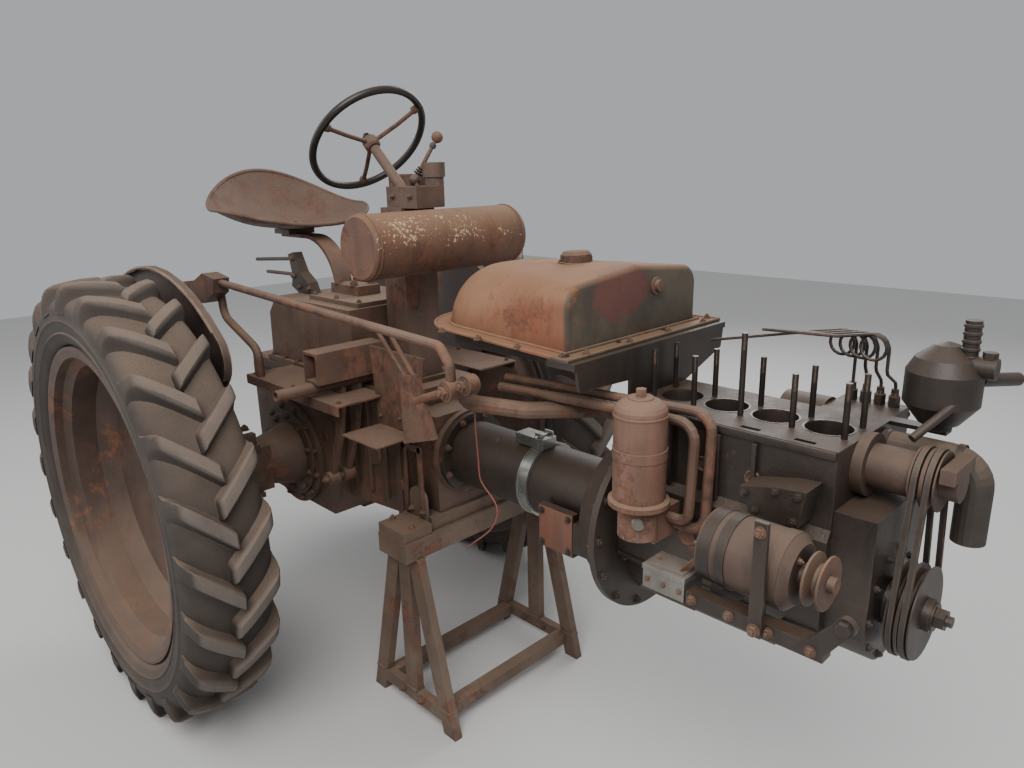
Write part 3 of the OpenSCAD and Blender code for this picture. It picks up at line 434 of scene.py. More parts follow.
@dataclass(frozen=True)
class Finish:
    """One weathered surface: its paint or metal, the rust, dust, wear and oil on it, and painted shade in its
    corners.
    """

    name: str
    base: Colour
    faded: Colour
    rust: float = 0.35
    rust_scale: float = 6.0
    light_rust: Colour = RUST_LIGHT
    dark_rust: Colour = RUST_DARK
    dust: float = 0.35
    dust_colour: Colour = DUST_TAN
    wear: float = 0.4
    worn: Colour = rgb(132, 104, 86)
    wear_radius: float = 0.005
    # How strongly oil runs and painted corner shade darken the surface.
    grime_and_shade: float = 0.5
    flakes: float = 0.0
    flake_colour: Colour = rgb(196, 160, 128)
    flake_scale: float = 34.0
    roughness: float = 0.62
    metallic: float = 0.0
    grain: float = 0.35
    grain_scale: float = 160.0
    dents: float = 0.4
    _made: dict = field(default_factory=dict, compare=False, repr=False)

    def material(self) -> bpy.types.Material:
        """Returns the material, and builds it the first time."""
        if "material" not in self._made:
            self._made["material"] = self._build()
        return self._made["material"]

    def _build(self) -> bpy.types.Material:
        """Builds the material's node tree."""
        made = bpy.data.materials.new(self.name)
        made.use_nodes = True
        made.node_tree.nodes.clear()
        graph = Graph(made.node_tree)
        coords = graph.add("ShaderNodeTexCoord").outputs
        vector, facing = coords["Object"], coords["Normal"]
        patch = graph.step(graph.noise(vector, 4.2, 6.0, 0.6), 0.36, 0.64)
        colour = graph.mix(patch, self.base, self.faded)
        colour = self.paint(graph, vector, colour)
        rusted = RustPatches.place(
            graph,
            vector=vector,
            colour=colour,
            light_rust=self.light_rust,
            dark_rust=self.dark_rust,
            amount=self.rust,
            scale=self.rust_scale,
        )
        worn = EdgeWear.place(graph, vector=vector, radius=self.wear_radius, amount=self.wear)["Mask"]
        colour = graph.mix(worn, rusted["Colour"], self.worn)
        # Painted shade: corners and gaps are darkened towards black by ambient occlusion, together with oil
        # runs down the sides.
        shade_and_oil_mask = GrimeAndShade.place(graph, vector=vector, amount=self.grime_and_shade)["Mask"]
        colour = graph.mix(shade_and_oil_mask, colour, OIL_AND_SHADE_BLACK)
        dusty = SettledDust.place(
            graph, vector=vector, facing=facing, colour=colour, dust=self.dust_colour, amount=self.dust
        )
        colour = dusty["Colour"]
        height = CastGrain.place(graph, vector=vector, scale=self.grain_scale, dents=self.dents)["Height"]
        height = graph.plus(height, graph.times(rusted["Mask"], 0.25))
        if self.flakes:
            scabs = PaintFlakes.place(
                graph, vector=vector, facing=facing, amount=self.flakes, scale=self.flake_scale
            )["Mask"]
            colour = graph.mix(scabs, colour, self.flake_colour)
            height = graph.plus(height, graph.times(scabs, 0.9))
        rough = graph.plus(self.roughness, graph.times(rusted["Mask"], 0.2))
        rough = graph.plus(rough, graph.times(dusty["Mask"], 0.3))
        rough = graph.minus(rough, graph.times(shade_and_oil_mask, 0.22))
        rough = graph.add("ShaderNodeClamp", {0: rough, 1: 0.12, 2: 0.97}).outputs[0]
        bump = graph.add("ShaderNodeBump", {"Strength": self.grain, "Distance": 0.003, "Height": height})
        surface = graph.add(
            "ShaderNodeBsdfPrincipled",
            {"Base Color": colour, "Roughness": rough, "Normal": bump.outputs[0]},
        )
        if self.metallic:
            covered = graph.math("MAXIMUM", rusted["Mask"], graph.math("MAXIMUM", dusty["Mask"], shade_and_oil_mask))
            bare = graph.times(graph.minus(1.0, covered), self.metallic)
            made.node_tree.links.new(bare, surface.inputs["Metallic"])
        graph.add("ShaderNodeOutputMaterial", {0: surface.outputs[0]})
        return made

    def paint(self, graph: Graph, vector: object, colour: object) -> Wire:
        """Lets a finish add its own colours before the rust goes on."""
        return colour


@dataclass(frozen=True)
class TyreFinish(Finish):
    """Old tyre rubber: grey and dusty on the lugs' faces, dark in the hollows."""

    centre: Point = ORIGIN
    tread_radius: float = 0.67
    rubbed: Colour = rgb(112, 103, 96)

    def paint(self, graph: Graph, vector: object, colour: object) -> Wire:
        """Puts the rubbed grey on the lugs by their distance from the axle.

        Args:
            graph: The material's graph.
            vector: The place on the piece.
            colour: The colour so far.

        Returns:
            The new colour.
        """
        place = graph.vector("SUBTRACT", vector, self.centre)[0]
        radius = graph.vector("LENGTH", graph.vector("MULTIPLY", place, (1.0, 0.0, 1.0))[0])["Value"]
        face = graph.step(radius, self.tread_radius - 0.022, self.tread_radius - 0.006)
        blotch = graph.span(graph.noise(vector, 9.0, 6.0, 0.65), 0.25, 1.0)
        return graph.mix(graph.times(face, blotch), colour, self.rubbed)


class Finishes:
    """Every finish on the tractor, by a maker's plain name."""

    cast_brown = Finish(
        "cast iron under red-brown dust", rgb(76, 56, 46), rgb(94, 72, 60), rust=0.4, dust=0.45
    )
    cover_brown = Finish("cover iron", rgb(86, 64, 53), rgb(104, 82, 68), rust=0.35, dust=0.6)
    engine_black = Finish(
        "oily engine iron", rgb(36, 31, 28), rgb(58, 48, 42), rust=0.22, dust=0.3, grime_and_shade=0.75, roughness=0.5,
        dust_colour=rgb(120, 98, 80), grain=0.5, worn=rgb(96, 80, 68),
    )
    black_steel = Finish(
        "dark oily steel", rgb(34, 29, 26), rgb(52, 42, 36), rust=0.25, dust=0.25, grime_and_shade=0.6, roughness=0.48,
        dust_colour=rgb(120, 98, 80), grain=0.2, worn=rgb(100, 86, 76),
    )
    rusty_steel = Finish("rusty steel", rgb(80, 57, 47), rgb(100, 74, 60), rust=0.5, dust=0.45, grain=0.3)
    wheel_red = Finish(
        "old wheel paint", rgb(62, 47, 41), rgb(82, 62, 53), rust=0.35, dust=0.5, grime_and_shade=0.55, grain=0.3
    )
    hub_iron = Finish(
        "hub iron", rgb(60, 42, 34), rgb(82, 58, 46), rust=0.5, dust=0.35, grime_and_shade=0.8, grain=0.45
    )
    fender_dark = Finish(
        "fender sheet", rgb(46, 36, 34), rgb(66, 52, 46), rust=0.3, dust=0.35, grime_and_shade=0.5, grain=0.18,
        worn=rgb(168, 142, 120), wear=0.8, wear_radius=0.008,
    )
    seat_red = Finish(
        "seat sheet", rgb(84, 62, 53), rgb(102, 78, 66), rust=0.45, rust_scale=11.0, dust=0.6, grime_and_shade=0.4,
        dust_colour=rgb(118, 95, 80), grain=0.3, dents=0.2, flakes=0.3, flake_scale=110.0,
        flake_colour=rgb(150, 126, 106),
    )
    lever_black = Finish("black levers", rgb(28, 24, 22), rgb(44, 38, 34), rust=0.2, dust=0.3, roughness=0.45)
    clamp_bright = Finish(
        "bright clamp band", rgb(176, 178, 172), rgb(150, 152, 146), rust=0.05, dust=0.12, grime_and_shade=0.35,
        roughness=0.28, metallic=0.9, grain=0.1, worn=rgb(210, 210, 205),
    )
    stud_steel = Finish(
        "oiled studs", rgb(70, 62, 56), rgb(48, 42, 38), rust=0.25, dust=0.1, grime_and_shade=0.35, roughness=0.35,
        metallic=0.7, grain=0.15,
    )
    belt_rubber = Finish(
        "belt rubber", rgb(30, 27, 25), rgb(46, 41, 38), rust=0.0, dust=0.35, grime_and_shade=0.4, grain=0.2
    )
    hose_rubber = Finish(
        "hose rubber", rgb(34, 30, 28), rgb(52, 46, 42), rust=0.0, dust=0.4, grime_and_shade=0.3, grain=0.25
    )
    box_alloy = Finish(
        "dull alloy", rgb(150, 148, 142), rgb(118, 114, 106), rust=0.08, dust=0.3, grime_and_shade=0.5, roughness=0.42,
        metallic=0.75, grain=0.2, worn=rgb(190, 188, 180),
    )
    filter_red = Finish(
        "dusty red paint", rgb(108, 74, 60), rgb(124, 92, 76), rust=0.4, rust_scale=8.0, dust=0.65,
        grime_and_shade=0.45, dust_colour=rgb(138, 112, 92), grain=0.16, dents=0.15,
    )
    pump_brown = Finish(
        "dusty pump casting", rgb(66, 50, 43), rgb(88, 69, 58), rust=0.3, dust=0.5, grime_and_shade=0.6,
        dust_colour=rgb(118, 97, 80), grain=0.4,
    )
    red_oxide = Finish(
        "red plate", rgb(112, 66, 50), rgb(100, 70, 56), rust=0.45, dust=0.35, grime_and_shade=0.45, grain=0.3
    )
    reservoir_paint = Finish(
        "flaking reservoir", rgb(84, 57, 46), rgb(104, 72, 56), rust=0.4, rust_scale=9.0, dust=0.75,
        dust_colour=rgb(142, 108, 80), grain=0.45, dents=0.2, flakes=1.15, flake_scale=105.0,
        flake_colour=rgb(190, 160, 130), grime_and_shade=0.55,
    )
    wheel_black = Finish(
        "black rim plastic", rgb(20, 18, 17), rgb(34, 30, 28), rust=0.0, dust=0.15, grime_and_shade=0.1, roughness=0.38,
        grain=0.12, worn=rgb(70, 62, 56),
    )
    stand_steel = Finish(
        "old stand", rgb(88, 70, 58), rgb(108, 90, 76), rust=0.35, dust=0.35, grime_and_shade=0.45, grain=0.3
    )
    copper = Finish(
        "old copper", rgb(150, 92, 62), rgb(120, 78, 58), rust=0.1, dust=0.15, grime_and_shade=0.2, roughness=0.4,
        metallic=0.8, grain=0.1,
    )
    edge_pale = Finish(
        "rubbed edge", rgb(150, 126, 106), rgb(112, 90, 74), rust=0.3, dust=0.3, grime_and_shade=0.3, grain=0.2,
        worn=rgb(190, 168, 146), wear=0.8,
    )
    wire_red = Finish(
        "wire plastic", rgb(120, 58, 50), rgb(140, 76, 64), rust=0.0, dust=0.2, grime_and_shade=0.1, grain=0.1
    )


FINISHED_NODES: tuple[tuple[Finish, str], ...] = (
    (Finishes.wheel_red, "rim_right rim_left"),
    (Finishes.hub_iron, "half_shaft_right half_shaft_left"),
    (Finishes.belt_rubber, "fan_belts"),
    (Finishes.cast_brown, "axle_trumpets gearbox_housing steering_box"),
    (Finishes.fender_dark, "fender_plates"),
    (Finishes.cover_brown, "transmission_cover"),
    (
        Finishes.rusty_steel,
        "foot_plates seat_spring brake_rod pedal_linkage "
        "dynamo_pulley oil_pipes tank_cap gear_lever drawbar",
    ),
    (Finishes.lever_black, "hand_levers"),
    (
        Finishes.black_steel,
        "torque_tube crank_pulley dynamo_mounts "
        "air_cleaner injection_lines tank_cradle",
    ),
    (Finishes.clamp_bright, "tube_clamp"),
    (Finishes.engine_black, "bell_housing engine_block sump timing_cover injection_pump"),
    (Finishes.stud_steel, "head_studs"),
    (Finishes.pump_brown, "water_pump dynamo"),
    (Finishes.hose_rubber, "coolant_hose"),
    (Finishes.box_alloy, "regulator_box"),
    (Finishes.filter_red, "oil_filter"),
    (Finishes.reservoir_paint, "air_reservoir"),
    (Finishes.stand_steel, "stand_frames stand_beam"),
)


# Making meshes


def square_to(axis: Vector) -> tuple[Vector, Vector]:
    """Returns two directions square to an axis and to each other."""
    axis = axis.normalized()
    first = UP if abs(axis.z) < 0.9 else LEFT
    side = (first - first.dot(axis) * axis).normalized()
    return side, axis.cross(side)


def bend(start: Vector, corner: Vector, end: Vector, steps: int) -> list[Vector]:
    """Returns points on the curve from start, towards a corner, to end."""
    shares = [i / steps for i in range(steps + 1)]
    return [start.lerp(corner, t).lerp(corner.lerp(end, t), t) for t in shares]


def ring(centre: Vector, side: Vector, up: Vector, radius: float, count: int) -> list[Vector]:
    """Returns points evenly spaced on a circle."""
    angles = [math.tau * i / count for i in range(count)]
    return [centre + radius * (math.cos(a) * side + math.sin(a) * up) for a in angles]


class Form:
    """Collects the points and faces of one piece."""

    def __init__(self) -> None:
        """Starts with nothing in it."""
        self.points: list[Vector] = []
        self.faces: list[tuple[int, ...]] = []

    def skin(self, rings: Sequence[Sequence[Vector]], closed: bool = False, caps: bool = True) -> None:
        """Joins rings of equally many points with faces.

        Args:
            rings: The rings, in order.
            closed: Whether the last ring joins the first.
            caps: Whether the two ends of an open row of rings are closed.
        """
        base, size, count = len(self.points), len(rings[0]), len(rings)
        for points in rings:
            self.points += points
        for i in range(count if closed else count - 1):
            here, there = base + i * size, base + (i + 1) % count * size
            for k in range(size):
                m = (k + 1) % size
                self.faces.append((here + k, there + k, there + m, here + m))
        if caps and not closed:
            self.faces.append(tuple(base + k for k in range(size)))
            self.faces.append(tuple(base + (count - 1) * size + k for k in reversed(range(size))))

    def turned(
        self,
        profile: Sequence[tuple[float, float]],
        centre: Vector,
        axis: Vector,
        sides: int = 48,
        closed: bool = False,
    ) -> None:
        """Turns a profile, as on a lathe.

        Args:
            profile: Pairs of radius and distance along the axis.
            centre: Where the distance is nought.
            axis: The axis.
            sides: The number of its sides.
            closed: Whether the profile is a closed loop.
        """
        side, up = square_to(axis)
        way = axis.normalized()
        self.skin([ring(centre + way * along, side, up, r, sides) for r, along in profile], closed)

    def tube(self, path: Sequence[Vector], radius: float, sides: int = 10, closed: bool = False) -> None:
        """Sweeps a circle along a path.

        Args:
            path: The points of the path.
            radius: The circle's radius.
            sides: The number of its sides.
            closed: Whether the path is a closed loop.
        """
        last = len(path) - 1
        side = None
        rings = []
        for i, point in enumerate(path):
            ahead = path[(i + 1) % (last + 1)] if closed else path[min(last, i + 1)]
            behind = path[i - 1] if closed else path[max(0, i - 1)]
            way = (ahead - behind).normalized()
            side = square_to(way)[0] if side is None else (side - side.dot(way) * way).normalized()
            rings.append(ring(point, side, way.cross(side), radius, sides))
        self.skin(rings, closed)

    def plate(self, outline: Sequence[Vector], depth: Vector) -> None:
        """Gives a flat outline a thickness."""
        self.skin([list(outline), [point + depth for point in outline]])

    def band(
        self,
        centre: Vector,
        axis: Vector,
        radii: tuple[float, float],
        halves: tuple[float, float],
        sides: int,
    ) -> None:
        """Adds a raised ring round an axis.

        Args:
            centre: The middle of the ring.
            axis: The axis that it goes round.
            radii: Its inner and outer radius.
            halves: Half its width at the inner and at the outer radius.
            sides: The number of its sides.
        """
        (inner, outer), (foot, top) = radii, halves
        profile = [(inner, -foot), (outer, -top), (outer, top), (inner, foot)]
        self.turned(profile, centre, axis, sides, closed=True)

    def slab(self, one: Vector, other: Vector) -> None:
        """Adds a block between two opposite corners."""
        low, high = (Vector([pick(pair) for pair in zip(one, other)]) for pick in (min, max))
        corners = [(low.x, low.y), (high.x, low.y), (high.x, high.y), (low.x, high.y)]
        self.plate([Vector((x, y, low.z)) for x, y in corners], Vector((0.0, 0.0, high.z - low.z)))

    def mesh(self, name: str, angle: float = 35.0, bevel: float = 0.0) -> Mesh:
        """Closes the seams, points the faces outwards and makes the mesh.

        Args:
            name: The mesh's name.
            angle: The angle in degrees past which an edge stays sharp.
            bevel: The width by which sharp edges are rounded.

        Returns:
            The new mesh.
        """
        work = bmesh.new()
        corners = [work.verts.new(point) for point in self.points]
        for face in self.faces:
            work.faces.new([corners[k] for k in face])
        bmesh.ops.remove_doubles(work, verts=work.verts, dist=1e-6)
        bmesh.ops.dissolve_degenerate(work, edges=work.edges, dist=1e-7)
        bmesh.ops.recalc_face_normals(work, faces=work.faces)
        if bevel:
            limit = math.radians(30.0)
            sharp = [e for e in work.edges if len(e.link_faces) == 2 and e.calc_face_angle(0.0) > limit]
            bmesh.ops.bevel(
                work, geom=sharp, offset=bevel, segments=2, profile=0.5, affect="EDGES", clamp_overlap=True
            )
        made = bpy.data.meshes.new(name)
        work.to_mesh(made)
        work.free()
        smooth(made, angle)
        return made

    def show(
        self,
        name: str,
        finish: Finish,
        slot: str,
        body: Body = Body.CHASSIS,
        angle: float = 35.0,
        bevel: float = 0.0,
        replaces: Sequence[str] = (),
    ) -> bpy.types.Object:
        """Makes the mesh and puts it on its body; see mesh and present for the values."""
        return present(self.mesh(name, angle, bevel), name, finish, body, replaces)


def joined(name: str, parts: Sequence[Mesh], angle: float) -> Mesh:
    """Joins meshes into one.

    Args:
        name: The new mesh's name.
        parts: The meshes, in order.
        angle: The angle in degrees past which an edge stays sharp.

    Returns:
        The joined mesh.
    """
    work = bmesh.new()
    for part in parts:
        work.from_mesh(part)
    whole = bpy.data.meshes.new(name)
    work.to_mesh(whole)
    work.free()
    smooth(whole, angle)
    return whole


def smooth(mesh: Mesh, angle: float) -> None:
    """Shades a mesh smooth, with edges past an angle in degrees left sharp."""
    mesh.shade_smooth()
    mesh.set_sharp_from_angle(angle=math.radians(angle))


def present(
    mesh: Mesh, name: str, finish: Finish, body: Body, replaces: Sequence[str] = ()
) -> bpy.types.Object:
    """Puts a finished piece on its body.

    Args:
        mesh: The piece's mesh.
        name: The piece's name.
        finish: The finish that it gets.
        body: The body that it rides on.
        replaces: The CAD nodes that it stands for.

    Returns:
        The piece.
    """
    mesh.materials.clear()
    mesh.materials.append(finish.material())
    piece = bpy.data.objects.new(name, mesh)
    bpy.context.scene.collection.objects.link(piece)
    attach(piece, body.value)
    if replaces:
        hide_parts(*replaces)
    LOG.info("%s: %d faces on %s", name, len(mesh.polygons), body.value)
    return piece


# Geometry recipes


class Recipe(SharedTree):
    """A Geometry Nodes tree that puts copies on points, whose result is baked into a plain mesh."""

    kind = "GeometryNodeTree"
    outputs = ("Geometry",)

    @staticmethod
    def copies(graph: Graph, source: Sockets, inputs: dict[str, Wire]) -> dict[str, Wire]:
        """Puts the copies on the points, joins them and gives them the material.

        Args:
            graph: The tree's graph.
            source: The tree's inputs by name.
            inputs: The points, what is copied, its rotation and its scale.

        Returns:
            The tree's output by name.
        """
        made = graph.add("GeometryNodeInstanceOnPoints", inputs).outputs[0]
        whole = graph.add("GeometryNodeRealizeInstances", {0: made}).outputs[0]
        dressed = {"Geometry": whole, "Material": source["Material"]}
        return {"Geometry": graph.add("GeometryNodeSetMaterial", dressed).outputs[0]}

    @classmethod
    def bake(cls, mesh: Mesh, finish: Finish, **values: object) -> Mesh:
        """Runs the tree on a mesh.

        Args:
            mesh: The mesh that goes in.
            finish: The finish for the tree's material input.
            **values: The tree's own inputs.

        Returns:
            The result as a plain mesh.
        """
        carrier = bpy.data.objects.new(cls.name, mesh)
        bpy.context.scene.collection.objects.link(carrier)
        modifier = carrier.modifiers.new(cls.name, "NODES")
        modifier.node_group = cls.tree()
        settings = {label(key): value for key, value in values.items()}
        settings["Material"] = finish.material()
        for item in cls.tree().interface.items_tree:
            if item.in_out == "INPUT" and item.name in settings:
                modifier[item.identifier] = settings[item.name]
        depsgraph = bpy.context.evaluated_depsgraph_get()
        baked = bpy.data.meshes.new_from_object(carrier.evaluated_get(depsgraph))
        carrier.modifiers.clear()
        bpy.data.objects.remove(carrier)
        return baked


class RoundTheAxle(Recipe):
    """Repeats a mesh around the wheel's axle, which lies along Y."""

    name = "round the axle"
    inputs = {"Geometry": None, "Count": 24, "Centre": ORIGIN, "Material": None}

    @classmethod
    def build(cls, graph: Graph, source: Sockets) -> dict[str, Wire]:
        """Puts one copy at the axle for each turn.

        Args:
            graph: The tree's graph.
            source: The tree's inputs by name.

        Returns:
            The tree's output by name.
        """
        places = {"Count": source["Count"], "Position": source["Centre"]}
        spots = graph.add("GeometryNodePoints", places).outputs[0]
        step = graph.math("DIVIDE", math.tau, source["Count"])
        angle = graph.times(graph.add("GeometryNodeInputIndex").outputs[0], step)
        turn = graph.add("ShaderNodeCombineXYZ", {1: angle}).outputs[0]
        copies = {"Points": spots, "Instance": source["Geometry"], "Rotation": turn}
        return cls.copies(graph, source, copies)


class HexagonHeads(Recipe):
    """Puts a washer, a hexagon and a thread end on each point, by its aim and size."""

    name = "hexagon heads"
    inputs = {"Geometry": None, "Head": 0.8, "Thread": 0.5, "Material": None}

    @classmethod
    def build(cls, graph: Graph, source: Sockets) -> dict[str, Wire]:
        """Joins the three parts of a fastening and puts them on the points.

        Args:
            graph: The tree's graph.
            source: The tree's inputs by name.

        Returns:
            The tree's output by name.
        """
        head, thread = source["Head"], source["Thread"]
        washer = 0.18
        top = graph.plus(head, washer)
        parts = [
            cls.disc(graph, 16, 1.3, washer, washer / 2),
            cls.disc(graph, 6, 1.0, head, graph.plus(graph.times(head, 0.5), washer)),
            cls.disc(graph, 10, 0.5, thread, graph.plus(top, graph.times(thread, 0.5))),
        ]
        join = graph.add("GeometryNodeJoinGeometry")
        for part in reversed(parts):
            graph.tree.links.new(part, join.inputs[0])
        points = graph.add("GeometryNodeMeshToPoints", {0: source["Geometry"]}).outputs[0]
        named = "GeometryNodeInputNamedAttribute"
        aim = graph.add(named, {"Name": "aim"}, data_type="FLOAT_VECTOR").outputs[0]
        size = graph.add(named, {"Name": "size"}, data_type="FLOAT").outputs[0]
        turn = graph.add("FunctionNodeAlignRotationToVector", {"Vector": aim}, axis="Z").outputs[0]
        copies = {"Points": points, "Instance": join.outputs[0], "Rotation": turn, "Scale": size}
        return cls.copies(graph, source, copies)

    @staticmethod
    def disc(graph: Graph, sides: int, radius: float, depth: object, middle: object) -> Wire:
        """Adds a short prism whose middle lies some way up Z."""
        shape = {"Vertices": sides, "Radius": radius, "Depth": depth}
        made = graph.add("GeometryNodeMeshCylinder", shape).outputs[0]
        lift = graph.add("ShaderNodeCombineXYZ", {2: middle}).outputs[0]
        return graph.add("GeometryNodeTransform", {"Geometry": made, "Translation": lift}).outputs[0]


class Fastenings:
    """The bolts, nuts and screws of one body."""

    def __init__(self) -> None:
        """Starts with none."""
        self.spots: list[tuple[Vector, Vector, float]] = []

    def add(self, place: Vector, aim: Vector, size: float) -> None:
        """Adds one, whose head has that radius."""
        self.spots.append((place, aim.normalized(), size))

    def circle(
        self, centre: Vector, axis: Vector, radius: float, count: int, size: float, turn: float = 0.0
    ) -> None:
        """Adds an even circle of them round an axis.

        Args:
            centre: The middle of the circle.
            axis: The axis that they look along.
            radius: The circle's radius.
            count: How many there are.
            size: The radius of a head.
            turn: The angle in degrees of the first one.
        """
        side, up = square_to(axis)
        for i in range(count):
            angle = math.tau * i / count + math.radians(turn)
            self.add(centre + radius * (math.cos(angle) * side + math.sin(angle) * up), axis, size)

    def row(self, start: Vector, end: Vector, count: int, aim: Vector, size: float) -> None:
        """Adds an even row of them."""
        for i in range(count):
            self.add(start.lerp(end, i / max(1, count - 1)), aim, size)

    def make(self, name: str, finish: Finish, slot: str, body: Body = Body.CHASSIS) -> None:
        """Bakes them into one piece.

        Args:
            name: The piece's name.
            finish: Its finish.
            slot: Not used.
            body: The body that it rides on.
        """
        mesh = bpy.data.meshes.new(name)
        mesh.from_pydata([place for place, _, _ in self.spots], [], [])
        aims = mesh.attributes.new("aim", "FLOAT_VECTOR", "POINT")
        aims.data.foreach_set("vector", [v for _, aim, _ in self.spots for v in aim])
        sizes = mesh.attributes.new("size", "FLOAT", "POINT")
        sizes.data.foreach_set("value", [size for _, _, size in self.spots])
        baked = HexagonHeads.bake(mesh, finish)
        smooth(baked, 30.0)
        present(baked, name, finish, body)


# Wheels


@dataclass(frozen=True)
class Tyre:
    """A rear tyre: a moulded carcass with slanted lugs that meet at the middle of the tread."""

    node: str
    body: Body
    hand: int
    plane: float = 0.700
    half_width: float = 0.1225
    tip: float = 0.6695
    base: float = 0.636
    bead: float = 0.4580
    lugs: int = 24
    slant: float = 46.0
    face: float = 0.030
    foot: float = 0.056

    def centre(self) -> Vector:
        """Returns the middle of the wheel."""
        return AXLE + Vector((0.0, self.hand * self.plane, 0.0))

    def carcass(self) -> Form:
        """Turns the carcass from bead to bead, with its rim strip and sidewall ribs."""
        w = self.half_width
        wall = [(r, w - inset) for r, inset in (
            (self.bead, 0.032), (0.4845, 0.032), (0.4875, 0.025), (0.494, 0.017), (0.505, 0.011),
            (0.518, 0.0065), (0.522, 0.0035), (0.527, 0.0065), (0.545, 0.003), (0.556, 0.002), (0.559, 0.0),
            (0.563, 0.002), (0.580, 0.003), (0.590, 0.0045), (0.596, 0.006), (0.604, 0.0095), (0.612, 0.015),
            (0.620, 0.024), (0.627, 0.036), (0.632, 0.052), (self.base - 0.0005, 0.074), (self.base, 0.098),
        )]
        half = wall + [(self.base, 0.001)]
        profile = half + [(r, -y) for r, y in reversed(half)]
        form = Form()
        form.turned(profile, self.centre(), LEFT, 96, closed=True)
        return form

    def carcass_radius(self, across: float) -> float:
        """Finds the carcass's surface under a lug.

        Args:
            across: The distance from the middle of the tread.

        Returns:
            The carcass's radius there.
        """
        edge = self.half_width - max(0.0, across)
        steps = [(0.0, 0.590), (0.006, 0.596), (0.015, 0.612), (0.036, 0.627), (0.074, self.base)]
        steps.append((1.0, self.base))
        for (e0, r0), (e1, r1) in zip(steps, steps[1:]):
            if edge <= e1:
                return r0 + (r1 - r0) * max(0.0, edge - e0) / (e1 - e0)
        return self.base

    def lug_pair(self) -> Form:
        """Makes the two lugs of one pitch, with worn rounded faces and flared feet."""
        w = self.half_width
        sine, slope = math.sin(math.radians(self.slant)), math.tan(math.radians(self.slant))
        face, foot = self.face / 2 / sine, self.foot / 2 / sine
        stations = [
            (-0.016, self.base + 0.002), (-0.012, self.tip - 0.008), (-0.006, self.tip - 0.001),
            (0.25 * w, self.tip), (0.5 * w, self.tip - 0.002), (0.75 * w, self.tip - 0.005),
            (w - 0.024, self.tip - 0.008), (w - 0.016, self.tip - 0.012), (w - 0.008, self.tip - 0.026),
            (w - 0.003, self.tip - 0.044), (w, self.tip - 0.062),
        ]
        form = Form()
        for side in (-1, 1):
            rings = []
            for across, top in stations:
                low = self.carcass_radius(across) - 0.008
                rise = top - low
                flare = 0.012 * min(1.0, rise / 0.04)
                half = [
                    (foot, low), (foot - 0.006, low + flare), (face + 0.005, low + rise * 0.55),
                    (face + 0.001, top - rise * 0.09), (face - 0.0035, top - rise * 0.012), (face * 0.3, top),
                ]
                section = [(-e, r) for e, r in half] + half[::-1]
                shift = -across / slope
                turn = math.pi / self.lugs if side > 0 else 0.0
                rings.append([self.spot(r, (shift + e) / self.tip + turn, side * across) for e, r in section])
            form.skin(rings)
        return form

    def spot(self, radius: float, angle: float, across: float) -> Vector:
        """Returns a point round the axle, before it is moved to the wheel."""
        return Vector((radius * math.cos(angle), self.hand * across, -radius * math.sin(angle)))

    def build(self) -> None:
        """Joins the carcass and the baked lugs into one piece."""
        finish = TyreFinish(
            f"{self.node} rubber", rgb(38, 34, 32), rgb(56, 50, 46), rust=0.0, dust=0.5, grime_and_shade=0.45,
            roughness=0.8, grain=0.35, grain_scale=220.0, wear=0.5, worn=rgb(120, 110, 102),
            wear_radius=0.006, dust_colour=rgb(140, 118, 100), centre=tuple(self.centre()),
        )
        pair = self.lug_pair().mesh("lug pair", 50.0)
        lugs = RoundTheAxle.bake(pair, finish, count=self.lugs, centre=self.centre())
        whole = joined(self.node, (self.carcass().mesh("carcass", 40.0), lugs), 38.0)
        present(whole, f"{self.node}_moulded", finish, self.body, (self.node,))


@dataclass(frozen=True)
class WheelTrim:
    """The bolts of one wheel, and the valve in its rim."""

    body: Body
    hand: int
    disc_face: float = 0.5775
    disc_back: float = 0.5465
    flange_face: float = 0.5935
    cap_face: float = 0.6235
    valve_plane: float = 0.655
    valve_radius: float = 0.418

    def build(self) -> None:
        """Puts the bolts on the disc, the hub's flange and its cap, and the valve in the rim."""
        out = Vector((0.0, self.hand, 0.0))
        bolts = Fastenings()
        bolts.circle(AXLE + out * self.disc_face, out, 0.090, 8, 0.0125, 22.5)
        bolts.circle(AXLE + out * self.cap_face, out, 0.030, 6, 0.0055)
        bolts.circle(AXLE + out * self.flange_face, out, 0.051, 6, 0.006, 30.0)
        bolts.circle(AXLE + out * self.disc_back, -out, 0.098, 8, 0.011, 10.0)
        bolts.make(f"{self.body.value}_bolts", Finishes.rusty_steel, "hub_iron", self.body)
        form = Form()
        root = AXLE + out * self.valve_plane + UP * self.valve_radius
        form.tube([root, root - UP * 0.014, root - out * 0.012 - UP * 0.030], 0.005, 12)
        form.show(f"{self.body.value}_valve", Finishes.black_steel, "dark_steel", self.body)


# Driver's place


